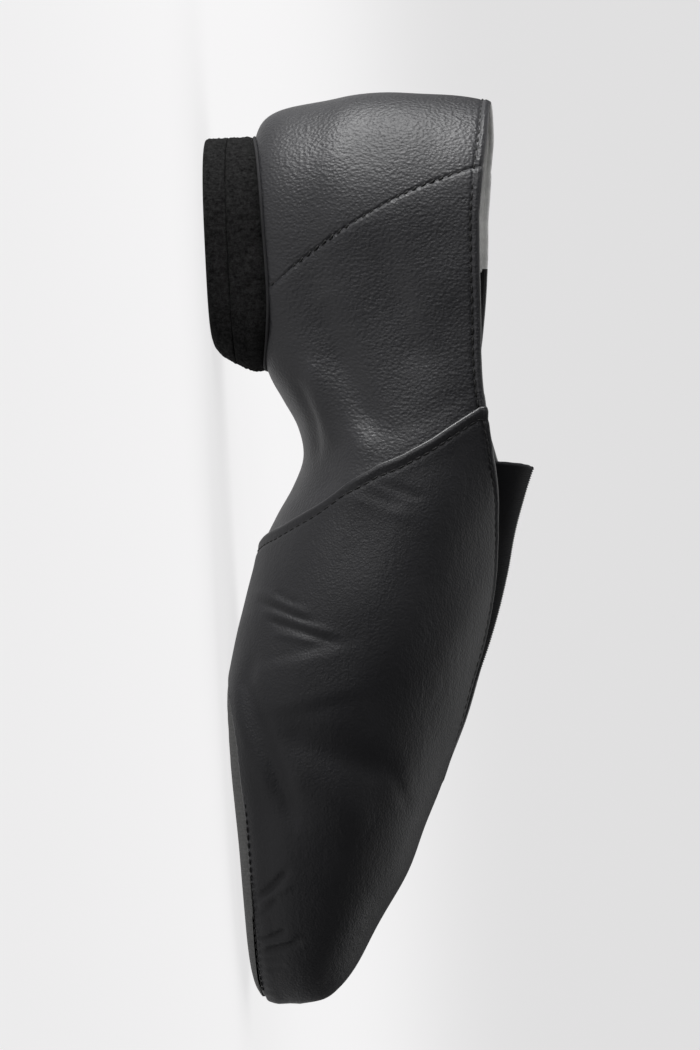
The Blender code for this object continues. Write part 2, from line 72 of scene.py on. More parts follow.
# x, underside, widest height, crest, inner half width, outer half width, middle,
# squareness below and above the widest height, arch lift
SECTIONS = np.array([
    (0.1545, 0.1524, 0.476, 1.366, 0.354, 0.354, 0.000, 7.0, 2.20, 0.000),
    (0.2114, 0.1524, 0.488, 1.341, 0.350, 0.352, 0.000, 6.5, 2.20, 0.000),
    (0.2683, 0.1561, 0.512, 1.256, 0.344, 0.352, 0.000, 6.0, 2.15, 0.000),
    (0.3008, 0.1700, 0.524, 1.195, 0.344, 0.359, 0.000, 5.0, 2.10, 0.012),
    (0.3333, 0.2170, 0.537, 1.134, 0.349, 0.370, -0.004, 4.0, 2.05, 0.024),
    (0.3659, 0.2600, 0.545, 1.082, 0.359, 0.384, -0.007, 3.4, 2.00, 0.037),
    (0.3984, 0.2740, 0.547, 1.040, 0.371, 0.402, -0.012, 3.0, 2.00, 0.043),
    (0.4309, 0.2350, 0.530, 0.999, 0.388, 0.424, -0.015, 2.8, 2.00, 0.049),
    (0.4634, 0.1730, 0.498, 0.966, 0.407, 0.446, -0.017, 2.8, 2.00, 0.049),
    (0.4959, 0.1210, 0.460, 0.939, 0.427, 0.466, -0.020, 2.9, 2.00, 0.049),
    (0.5366, 0.0750, 0.411, 0.916, 0.449, 0.487, -0.022, 3.1, 2.00, 0.037),
    (0.5772, 0.0380, 0.367, 0.888, 0.468, 0.504, -0.024, 3.4, 2.00, 0.018),
    (0.6179, 0.0122, 0.330, 0.852, 0.482, 0.516, -0.024, 3.8, 2.00, 0.006),
    (0.6585, -0.0061, 0.306, 0.807, 0.488, 0.522, -0.024, 4.0, 2.00, 0.000),
    (0.6992, -0.0073, 0.281, 0.763, 0.485, 0.520, -0.024, 4.0, 2.00, 0.000),
    (0.7398, -0.0040, 0.262, 0.711, 0.472, 0.510, -0.026, 4.0, 2.00, 0.000),
    (0.7805, 0.0020, 0.248, 0.661, 0.449, 0.488, -0.028, 4.0, 2.05, 0.000),
    (0.8211, 0.0080, 0.236, 0.603, 0.421, 0.462, -0.032, 3.9, 2.10, 0.000),
    (0.8618, 0.0115, 0.224, 0.545, 0.387, 0.426, -0.037, 3.8, 2.10, 0.000),
    (0.9024, 0.0145, 0.211, 0.479, 0.341, 0.375, -0.041, 3.6, 2.10, 0.000),
    (0.9350, 0.0175, 0.199, 0.419, 0.288, 0.315, -0.045, 3.4, 2.10, 0.000),
    (0.9634, 0.0245, 0.189, 0.360, 0.223, 0.242, -0.048, 3.0, 2.10, 0.000),
    (0.9837, 0.0400, 0.179, 0.307, 0.151, 0.162, -0.049, 2.6, 2.10, 0.000),
    (0.9959, 0.0740, 0.174, 0.256, 0.076, 0.080, -0.049, 2.3, 2.00, 0.000),
    (1.0000, 0.1735, 0.175, 0.1765, 0.000, 0.000, -0.049, 2.0, 2.00, 0.000),
])
# Straight behind the heel: widest height, crest, squareness below and above it
BACK = (0.567, 1.341, 7.0, 2.20)
# Lines in the side view: x, then height or half width, as shares
COLLAR = np.array([
    (0.000, 1.000), (0.016, 1.000), (0.056, 0.991), (0.091, 0.973), (0.145, 0.953),
    (0.206, 0.946), (0.268, 0.944), (0.339, 0.941), (0.355, 0.946),
])
THROAT = np.array([
    (0.355, 0.276), (0.382, 0.263), (0.409, 0.245), (0.435, 0.216), (0.460, 0.185), (0.498, 0.143),
    (0.549, 0.116), (0.606, 0.095), (0.663, 0.076), (0.711, 0.057), (0.740, 0.040), (0.756, 0.024),
    (0.766, 0.000),
])
VAMP_SEAM = np.array([
    (0.355, 0.878), (0.367, 0.817), (0.388, 0.715), (0.405, 0.612), (0.419, 0.511), (0.433, 0.410),
    (0.452, 0.309), (0.463, 0.241), (0.476, 0.174), (0.492, 0.1145),
])
SOLE_SEAM = np.array([
    (0.600, 0.033), (0.675, 0.034), (0.707, 0.044), (0.752, 0.050), (0.841, 0.055), (0.919, 0.057),
    (0.951, 0.058), (0.972, 0.060), (0.986, 0.066), (0.994, 0.075), (1.000, 0.0805),
])
SOLE_BACK = 0.620 * LENGTH
SOLE_FULL = 0.690 * LENGTH
SEAM_MIDDLE = 0.423 * LENGTH
THROAT_TIP = 0.766 * LENGTH
LAP_RUN = 0.11 * LENGTH
LEAN_BACK = 0.20 * LENGTH
LEAN_FRONT = 0.69 * LENGTH
BOTTOM = -math.pi / 2
TOP = math.pi / 2
print("sections:", len(SECTIONS), "offset of the measured frame:", OFFSET.round(4))

# %% [markdown]
# A shoe's form is easiest to hold as a rule: a place along the foot and an angle round the section give a
# point. The rule is written for whole arrays at once, so a hundred thousand points take a moment. Each
# section is a rounded square whose squareness changes from the flat underside to the round top.

# %% The rule of the form
def smooth(v):
    """0 to 1 with soft ends."""
    v = np.clip(v, 0.0, 1.0)
    return v * v * (3.0 - 2.0 * v)


def bell(distance, width):
    """1 on a line, fading to 0 on both sides like a soft hill."""
    return np.exp(-((distance / width) ** 2))


def unit(rows):
    """Each row brought to length 1."""
    return rows / np.maximum(np.linalg.norm(rows, axis=1, keepdims=True), 1e-20)


def between_rows(at, marks, rows):
    """Rows looked up between their marks, each column on its own."""
    return np.stack([np.interp(at, marks, values) for values in rows.T], axis=1)


def level_on(line, x):
    """The share that a two-column line gives at a place along the foot."""
    return np.interp(np.asarray(x) / LENGTH, line[:, 0], line[:, 1])


def lap_height(ahead):
    """The vamp lies over the quarters at its seam and sinks to their level towards the toe."""
    return VAMP_STEP * (1.0 - smooth(ahead / LAP_RUN))


def table_curve(rows, steps=60):
    """The rows with smooth in-between rows, as arrays to look values up in."""
    n = len(rows)
    place = np.linspace(0, n - 1, (n - 1) * steps + 1)
    i = np.minimum(place.astype(int), n - 2)
    t = (place - i)[:, None]
    padded = np.vstack([rows[0], rows, 2 * rows[-1] - rows[-2]])
    p0, p1, p2, p3 = padded[i], padded[i + 1], padded[i + 2], padded[i + 3]
    m1 = 0.5 * (p2 - p0)
    m2 = 0.5 * (p3 - p1)
    return ((2 * t**3 - 3 * t**2 + 1) * p1 + (t**3 - 2 * t**2 + t) * m1
            + (-2 * t**3 + 3 * t**2) * p2 + (t**3 - t**2) * m2)


FINE = table_curve(SECTIONS)


def column(x, k):
    """Column k of the section table at places along the foot."""
    return np.interp(np.asarray(x) / LENGTH, FINE[:, 0], FINE[:, k])


def share_at(angle, below, above):
    """Level and upright share of a half section at an angle."""
    c = np.clip(np.cos(angle), 0.0, None)
    s = np.abs(np.sin(angle))
    wall = np.minimum(2.4, below)
    n_low = wall + (below - wall) * smooth((np.degrees(-angle) - 15.0) / 60.0)
    n = np.where(angle < 0, n_low, above)
    r = (c**n + s**n) ** (-1.0 / n)
    return c * r, s * r * np.where(angle >= 0, 1.0, -1.0)


def section(x, side, angle, inset=0.0):
    """Points (..., 3) of the outer surface; side is -1 inside of the foot, +1 outside."""
    x, side, angle, inset = np.broadcast_arrays(x, side, angle, inset)
    low = column(x, 1) * INSTEP_HEIGHT + inset
    wide = column(x, 2) * INSTEP_HEIGHT
    crest = column(x, 3) * INSTEP_HEIGHT - inset
    half = np.where(side < 0, column(x, 4), column(x, 5)) * BALL_WIDTH - inset
    level, up = share_at(angle, column(x, 7), column(x, 8))
    z = wide + up * np.where(up > 0, crest - wide, wide - low)
    lift = column(x, 9) * INSTEP_HEIGHT * np.sin(2.0 * (angle + math.pi / 2)) ** 2
    z = z + np.where((side < 0) & (angle < 0), lift, 0.0)
    y = column(x, 6) * BALL_WIDTH + side * level * half
    return np.stack([x, y, z], axis=-1)


def heel_point(turn, side, angle, inset=0.0):
    """Points of the rounded back; turn 0 is straight behind."""
    turn, side, angle, inset = np.broadcast_arrays(turn, side, angle, inset)
    flank = section(np.full(turn.shape, HEEL_CENTRE), side, angle, inset)
    level, up = share_at(angle, np.full(turn.shape, BACK[2]), np.full(turn.shape, BACK[3]))
    wide = BACK[0] * INSTEP_HEIGHT
    crest = BACK[1] * INSTEP_HEIGHT - inset
    z = wide + up * np.where(up > 0, crest - wide, wide - SEAT_HEIGHT - inset)
    c = np.cos(turn)
    s = np.sin(turn)
    x = HEEL_CENTRE - c * level * (HEEL_CENTRE - inset)
    return np.stack([x, s * flank[..., 1], c * c * z + s * s * flank[..., 2]], axis=-1)


def solve(function, target, low, high):
    """Angles at which a function of an array of angles reaches its targets."""
    target = np.asarray(target, float)
    low = np.full(target.shape, float(low))
    high = np.full(target.shape, float(high))
    rising = function(high) > function(low)
    for _ in range(34):
        middle = 0.5 * (low + high)
        under = (function(middle) < target) == rising
        low = np.where(under, middle, low)
        high = np.where(under, high, middle)
    return 0.5 * (low + high)


print("height of the instep where the elastic starts:", section(0.104, 1, TOP)[2].round(4))

# %% [markdown]
# Three lines cut the form into panels: the collar and throat edge, the vamp seam and the seam of the
# front sole. Each becomes an angle at every place along the foot. The columns of the mesh lean so that
# one of them follows the vamp seam, because a mesh edge that runs along a seam keeps it crisp.

# %% Edges and seams as angles
OUTER_DROP = 0.0034
DROP_FROM = 0.040
DROP_RUN = 0.047
OUTER_GAP = 0.040


def throat_gap(x, side=-1):
    """Half the width of the throat, a little wider on the outer side, where its corner hangs lower."""
    share = np.asarray(x) / LENGTH
    wider = np.where(np.asarray(side) > 0, OUTER_GAP * (1.0 - smooth((share - 0.395) / 0.085)), 0.0)
    return (np.interp(share, THROAT[:, 0], THROAT[:, 1], right=0.0) + wider) * BALL_WIDTH


def collar_height(x, side):
    """Height of the collar; the outer side falls a little towards the throat."""
    drop = np.where(np.asarray(side) > 0, OUTER_DROP * smooth((x - DROP_FROM) / DROP_RUN), 0.0)
    return level_on(COLLAR, x) * COLLAR_HEIGHT - drop


def top_angle(x, side):
    """Where the leather ends at the collar or the throat."""
    x = np.atleast_1d(np.asarray(x, float))
    middle = section(x, side, TOP)[..., 1]
    throat = solve(lambda a: np.abs(section(x, side, a)[..., 1] - middle), throat_gap(x, side), 0.0, TOP)
    collar = solve(lambda a: section(x, side, a)[..., 2], collar_height(x, side), 0.0, TOP)
    out = np.where(x > THROAT[0, 0] * LENGTH, throat, collar)
    return np.where(x >= THROAT_TIP, TOP, out)


def back_angle(turn, side):
    """Where the leather ends round the back of the heel."""
    turn = np.atleast_1d(np.asarray(turn, float))
    reach = HEEL_CENTRE * (1.0 - 0.9 * np.cos(turn))
    height = level_on(COLLAR, reach) * COLLAR_HEIGHT
    return solve(lambda a: heel_point(turn, side, a)[..., 2], height, 0.0, TOP)


def sole_angle(x, side, back=SOLE_BACK):
    """Where the leather starts above the front sole; straight down where it is closed."""
    x = np.atleast_1d(np.asarray(x, float))
    height = level_on(SOLE_SEAM, x) * INSTEP_HEIGHT
    full = solve(lambda a: section(x, side, a)[..., 2], height, BOTTOM, 0.0)
    share = np.clip((x - back) / (SOLE_FULL - back), 0.0, 1.0)
    out = BOTTOM + (full - BOTTOM) * np.sqrt(1.0 - (1.0 - share) ** 2)
    closed = (x <= back) | (section(x, side, BOTTOM)[..., 2] >= height)
    return np.where(closed, BOTTOM, out)


seam_x = VAMP_SEAM[:, 0] * LENGTH
seam_angle = solve(lambda a: section(seam_x, 1, a)[..., 2], VAMP_SEAM[:, 1] * INSTEP_HEIGHT, BOTTOM, TOP)
seam_order = np.argsort(seam_angle)
SHIFT_ANGLE = seam_angle[seam_order]
SHIFT = (seam_x - SEAM_MIDDLE)[seam_order]


def leaned(x, angle):
    """Leans the columns so that the one at the middle of the seam follows the seam."""
    before = smooth((x - LEAN_BACK) / (SEAM_MIDDLE - LEAN_BACK))
    after = smooth((LEAN_FRONT - x) / (LEAN_FRONT - SEAM_MIDDLE))
    return x + np.where(x < SEAM_MIDDLE, before, after) * np.interp(angle, SHIFT_ANGLE, SHIFT)


def top_column(x, side):
    """Where the leather ends on a leaning column."""
    return top_angle(leaned(np.asarray(x, float), TOP), side)


print("angle of the collar at the back:", np.degrees(back_angle(0.0, 1)).round(1))

# %% [markdown]
# Leather has body: it is a sheet with an outside, an inside and a rounded or folded rim. The builder
# below takes any open surface and grows it into such a sheet. It welds doubled points, works out the
# outward direction, sets the outside and the inside at their own depths, and rolls a rim round every free
# edge. One careful builder serves the leather, the elastic and the lining alike. Most pieces lie on both
# sides of the foot, so a second helper joins an inner and an outer grid.

# %% From a surface to a sheet with rolled rims
def quads(columns, rows, start=0, flip=False):
    """The faces of a grid of points."""
    i, j = np.meshgrid(np.arange(columns - 1), np.arange(rows - 1), indexing="ij")
    a = start + (i * rows + j).ravel()
    face = np.stack([a, a + rows, a + rows + 1, a + 1], axis=1)
    return face[:, ::-1] if flip else face


# Points closer than about a two-hundredth of a millimetre become one
WELD_STEPS = 2e5


def weld(points, faces, facts):
    """Joins doubled points; facts are arrays with a row per point, kept for the points that stay."""
    key = np.round(points * WELD_STEPS).astype(np.int64)
    first, index = np.unique(key, axis=0, return_index=True, return_inverse=True)[1:]
    index = index.reshape(-1)
    polygons = []
    for face in index[faces]:
        ring = [v for k, v in enumerate(face) if v != face[k - 1]]
        if len(ring) > 2 and len(set(ring)) == len(ring):
            polygons.append(tuple(ring))
    return points[first], polygons, [f[first] for f in facts]


def both_sides(make_side, flip):
    """Joins the inner and the outer grid of make_side with their facts; flip names the side turned over."""
    points, faces, facts = [], [], []
    for side in (-1, 1):
        grid, values = make_side(side)
        start = sum(len(p) for p in points)
        points.append(grid.reshape(-1, 3))
        facts.append([v.reshape(-1) for v in values])
        faces.append(quads(*grid.shape[:2], start, flip=side == flip))
    return weld(np.vstack(points), np.vstack(faces), [np.concatenate(f) for f in zip(*facts)])


def normals_of(points, polygons):
    """Outward direction at each point, from the faces round it."""
    out = np.zeros_like(points)
    tri = np.array([(p[0], p[k], p[k + 1]) for p in polygons for k in range(1, len(p) - 1)])
    cross = np.cross(points[tri[:, 1]] - points[tri[:, 0]], points[tri[:, 2]] - points[tri[:, 0]])
    for k in range(3):
        np.add.at(out, tri[:, k], cross)
    return unit(out)


def thick_sheet(points, polygons, outside, inside, rim_steps=5, reach=1.0):
    """Points, faces and a flag per face: 0 outside, 1 rim, 2 inside, 3 inner half of the rim."""
    normal = normals_of(points, polygons)
    n = len(points)
    top = points + normal * outside[:, None]
    bottom = points - normal * inside[:, None]
    seen = {}
    for p in polygons:
        for k in range(len(p)):
            edge = (p[k - 1], p[k])
            if (edge[1], edge[0]) in seen:
                del seen[(edge[1], edge[0])]
            else:
                seen[edge] = True
    edges = np.array(list(seen))
    off = np.zeros_like(points)
    along = top[edges[:, 1]] - top[edges[:, 0]]
    away = np.cross(along, normal[edges[:, 0]])
    np.add.at(off, edges[:, 0], away)
    np.add.at(off, edges[:, 1], away)
    rim = np.unique(edges)
    off = unit(off[rim])
    middle = 0.5 * (top[rim] + bottom[rim])
    arm = 0.5 * (top[rim] - bottom[rim])
    radius = np.linalg.norm(arm, axis=1, keepdims=True) * reach
    turns = [math.pi * k / rim_steps for k in range(1, rim_steps)]
    rings = [middle + arm * math.cos(t) + off * radius * math.sin(t) for t in turns]
    place = {int(v): i for i, v in enumerate(rim)}
    faces = list(polygons) + [tuple(v + n for v in reversed(p)) for p in polygons]
    kinds = [0] * len(polygons) + [2] * len(polygons)

    def ladder(v):
        return [v] + [2 * n + k * len(rim) + place[int(v)] for k in range(rim_steps - 1)] + [v + n]

    for a, b in edges:
        left, right = ladder(a), ladder(b)
        for k in range(rim_steps):
            faces.append((right[k], left[k], left[k + 1], right[k + 1]))
            kinds.append(1 if k < rim_steps // 2 else 3)
    return np.vstack([top, bottom] + rings), faces, kinds


def volume_of(points, faces):
    """Six times the enclosed volume; below nothing where the faces point inwards."""
    tri = np.array([(f[0], f[k], f[k + 1]) for f in faces for k in range(1, len(f) - 1)])
    return float(np.einsum("ij,ij->", points[tri[:, 0]], np.cross(points[tri[:, 1]], points[tri[:, 2]])))


def make_mesh(name, points, faces, looks, kinds=None, ride=True):
    """A smooth mesh in the shoe's frame that rides on the shoe; kinds choose the material of each face."""
    mesh = bpy.data.meshes.new(name)
    if volume_of(points, faces) < 0:
        faces = [tuple(reversed(f)) for f in faces]
    mesh.from_pydata((points + OFFSET).tolist(), [], [tuple(int(v) for v in f) for f in faces])
    for look in looks:
        mesh.materials.append(look)
    mesh.polygons.foreach_set("use_smooth", [True] * len(mesh.polygons))
    if kinds is not None:
        mesh.polygons.foreach_set("material_index", np.minimum(kinds, len(looks) - 1))
    mesh.update()
    made = bpy.data.objects.new(name, mesh)
    bpy.context.scene.collection.objects.link(made)
    if ride:
        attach(made, "root")
    print(name, len(points), "points", len(faces), "faces")
    return made

# %% [markdown]
# Finishes come before the pieces, so each piece gets its look as soon as it exists. Black leather is dark
# but never flat: a fine pebble, faint wavy lines drawn out by stretching, and a waxy sheen that changes a
# little from place to place. Heights in metres go to a bump node; the colour varies only slightly.

# %% Tools for finishes
def finish(name, colour, rough, specular=0.5):
    """A new material with its node tree and its main shader."""
    look = bpy.data.materials.new(name)
    look.use_nodes = True
    tree = look.node_tree
    shader = tree.nodes["Principled BSDF"]
    shader.inputs["Base Color"].default_value = (*colour, 1.0)
    shader.inputs["Roughness"].default_value = rough
    shader.inputs["Specular IOR Level"].default_value = specular
    return look, tree, shader


def node(tree, kind, **inputs):
    """A new node; other nodes' outputs are linked to its inputs and plain values are set on them."""
    made = tree.nodes.new("ShaderNode" + kind)
    for name, value in inputs.items():
        slot = made.inputs[name.replace("_", " ")]
        if isinstance(value, bpy.types.NodeSocket):
            tree.links.new(value, slot)
        else:
            slot.default_value = value
    return made


def own_place(tree):
    """The piece's own coordinates."""
    return node(tree, "TexCoord").outputs["Object"]


def stretched(tree, scale):
    """The piece's own coordinates, stretched per axis."""
    return node(tree, "Mapping", Vector=own_place(tree), Scale=scale).outputs["Vector"]


def noise(tree, scale, stretch=(1, 1, 1), detail=3.0, rough=0.55, twist=0.0):
    """Soft grey clouds."""
    return node(tree, "TexNoise", Vector=stretched(tree, stretch), Scale=scale, Detail=detail,
                Roughness=rough, Distortion=twist).outputs["Fac"]


def cells(tree, scale, stretch=(1, 1, 1)):
    """Distance to the middle of the nearest cell: a pebbled grain."""
    made = tree.nodes.new("ShaderNodeTexVoronoi")
    made.feature = "SMOOTH_F1"
    made.inputs["Scale"].default_value = scale
    made.inputs["Smoothness"].default_value = 0.6
    tree.links.new(stretched(tree, stretch), made.inputs["Vector"])
    return made.outputs["Distance"]


def maths(tree, kind, a, b=0.0):
    """One calculation with two values."""
    made = tree.nodes.new("ShaderNodeMath")
    made.operation = kind
    for slot, value in zip(made.inputs, (a, b)):
        if isinstance(value, (int, float)):
            slot.default_value = value
        else:
            tree.links.new(value, slot)
    return made.outputs["Value"]


def blended(tree, parts):
    """Sum of heights, each with its weight."""
    total = 0.0
    for value, weight in parts:
        total = maths(tree, "ADD", total, maths(tree, "MULTIPLY", value, weight))
    return total


def bump(tree, shader, height, distance, strength=1.0):
    """Lets a height shade the surface as if it stood out by a distance in metres."""
    made = node(tree, "Bump", Strength=strength, Distance=distance, Height=height)
    tree.links.new(made.outputs["Normal"], shader.inputs["Normal"])


def ranged(tree, value, low, high, start=0.0, end=1.0):
    """A value between start and end brought to the range from low to high."""
    made = node(tree, "MapRange", Value=value, From_Min=start, From_Max=end, To_Min=low, To_Max=high)
    return made.outputs["Result"]


def tinted(tree, shader, value, dark, light):
    """Colours the surface between two tones."""
    made = tree.nodes.new("ShaderNodeMix")
    made.data_type = "RGBA"
    made.inputs["A"].default_value = (*dark, 1.0)
    made.inputs["B"].default_value = (*light, 1.0)
    tree.links.new(value, made.inputs["Factor"])
    tree.links.new(made.outputs["Result"], shader.inputs["Base Color"])

# %% [markdown]
# Some marks follow a place on the shoe and not a pattern: the groove of a seam, the ribs of a pressed
# edge. They are worked out from the piece's own coordinates, so they stay where they belong and need no
# image. A curve node holds the line of the counter seam, and the distance to it becomes a narrow valley.

# %% Lines drawn in a finish
COUNTER_SEAM = ((22.3, 76.0), (24.0, 68.5), (27.2, 58.5), (29.7, 52.7), (32.5, 47.0), (37.2, 38.3),
                (42.8, 29.6), (47.0, 23.7), (51.4, 17.9), (54.0, 13.0))


def axis(tree, name):
    """One coordinate of the piece's own frame."""
    return node(tree, "SeparateXYZ", Vector=own_place(tree)).outputs[name]


def seam_valley(tree, line, width, span=100.0):
    """1 on a seam given by x and z in mm, fading to 0 at the width on both sides."""
    curve = tree.nodes.new("ShaderNodeFloatCurve")
    marks = curve.mapping.curves[0].points
    rows = sorted((z / span, x / span) for x, z in line)
    marks[0].location = (0.0, rows[0][1])
    marks[1].location = (1.0, rows[-1][1])
    for z, x in rows:
        marks.new(z, x)
    curve.mapping.update()
    height = maths(tree, "DIVIDE", axis(tree, "Z"), span * 0.001)
    tree.links.new(height, curve.inputs["Value"])
    place = maths(tree, "MULTIPLY", curve.outputs["Value"], span * 0.001)
    here = maths(tree, "SUBTRACT", axis(tree, "X"), float(OFFSET[0]))
    away = maths(tree, "ABSOLUTE", maths(tree, "SUBTRACT", here, place))
    share = maths(tree, "MINIMUM", maths(tree, "DIVIDE", away, width), 1.0)
    near = maths(tree, "SUBTRACT", 1.0, share)
    return maths(tree, "MULTIPLY", near, near)


def ribs(tree, name, pitch):
    """A wave along one axis."""
    return maths(tree, "SINE", maths(tree, "MULTIPLY", axis(tree, name), 2.0 * math.pi / pitch))

# %% [markdown]
# The quarters are pebbled like grained calf, the vamp is smoother and drawn out by the toe, and folded
# edges are worn a little shinier. Each is one material: a sum of cells and noises at real grain sizes,
# fed into one bump.

# %% Leather
quarter_leather, tree, shader = finish("quarter_leather", (0.020, 0.020, 0.022), 0.5, 0.37)
grain = blended(tree, [
    (cells(tree, 1350.0, (1.0, 1.0, 0.8)), 0.85),
    (noise(tree, 1000.0, (1.4, 1.4, 0.8), 2.0, 0.5, 0.4), 0.5),
    (noise(tree, 2600.0), 0.3),
    (seam_valley(tree, COUNTER_SEAM, 0.0011), -2.4),
])
bump(tree, shader, grain, 0.00022, 0.85)
tree.links.new(ranged(tree, noise(tree, 60.0), 0.42, 0.58), shader.inputs["Roughness"])
tinted(tree, shader, noise(tree, 90.0), (0.009, 0.009, 0.0105), (0.018, 0.018, 0.020))

vamp_leather, tree, shader = finish("vamp_leather", (0.020, 0.020, 0.022), 0.5, 0.29)
grain = blended(tree, [
    (cells(tree, 1700.0), 0.5),
    (noise(tree, 620.0, (1.0, 1.0, 1.6), 3.0, 0.55, 0.6), 0.7),
    (noise(tree, 150.0, (0.6, 1.0, 1.8), 2.0, 0.5, 1.5), 0.7),
    (noise(tree, 3000.0), 0.25),
])
bump(tree, shader, grain, 0.00022, 0.85)
tree.links.new(ranged(tree, noise(tree, 55.0), 0.50, 0.66), shader.inputs["Roughness"])
tinted(tree, shader, noise(tree, 80.0), (0.005, 0.005, 0.0062), (0.010, 0.010, 0.0115))

edge_leather, tree, shader = finish("edge_leather", (0.022, 0.022, 0.023), 0.42, 0.5)
bump(tree, shader, noise(tree, 900.0), 0.00012, 0.6)

# %% [markdown]
# Suede, felt and elastic have no shine. A high roughness, a short nap in the bump and flecks of two tones
# are enough. The side of the sole also gets fine upright ribs, where the sewing foot pressed it.

# %% Suede, felt, elastic and thread
grey_suede, tree, shader = finish("grey_suede_lining", (0.45, 0.45, 0.44), 0.95, 0.2)
nap = blended(tree, [(noise(tree, 1500.0, (1, 1, 1), 4.0, 0.7), 0.7), (noise(tree, 260.0), 0.6)])
bump(tree, shader, nap, 0.0003, 0.7)
tinted(tree, shader, noise(tree, 420.0, (1, 1, 1), 4.0, 0.65), (0.55, 0.55, 0.54), (0.98, 0.98, 0.96))

black_lining, tree, shader = finish("black_lining", (0.012, 0.012, 0.013), 0.8, 0.25)
bump(tree, shader, noise(tree, 1300.0), 0.0002, 0.6)

elastic_look, tree, shader = finish("ribbed_elastic", (0.008, 0.008, 0.009), 0.85, 0.15)
bump(tree, shader, noise(tree, 3200.0, (1, 0.3, 1), 3.0), 0.00012, 0.6)

sole_suede, tree, shader = finish("sole_suede", (0.12, 0.12, 0.12), 0.92, 0.2)
nap = blended(tree, [
    (noise(tree, 1700.0, (1.6, 1, 0.5), 4.0, 0.7), 0.6),
    (noise(tree, 240.0), 0.3),
    (ribs(tree, "X", 0.0012), 0.35),
])
bump(tree, shader, nap, 0.0003, 0.9)
tinted(tree, shader, noise(tree, 800.0, (1.5, 1, 0.6), 4.0, 0.7), (0.035, 0.035, 0.035), (0.13, 0.13, 0.127))

heel_look, tree, shader = finish("heel_fuzz", (0.014, 0.014, 0.014), 0.95, 0.06)
nap = blended(tree, [(noise(tree, 1800.0, (1, 1, 0.6), 4.0, 0.75), 0.8), (noise(tree, 420.0), 0.5)])
bump(tree, shader, nap, 0.0005, 1.0)
flecks = ranged(tree, noise(tree, 1150.0, (1, 1, 0.8), 4.0, 0.85), -0.8, 1.6)
tinted(tree, shader, flecks, (0.0006, 0.0006, 0.0006), (0.024, 0.024, 0.024))

sock_look, tree, shader = finish("sock_felt", (0.07, 0.07, 0.07), 0.9, 0.2)
bump(tree, shader, noise(tree, 1500.0), 0.0002, 0.6)

thread_look, tree, shader = finish("thread", (0.005, 0.005, 0.005), 0.6, 0.25)
bump(tree, shader, noise(tree, 5000.0, (1, 1, 1), 1.0), 0.00005, 0.5)
print("finishes:", len(bpy.data.materials))
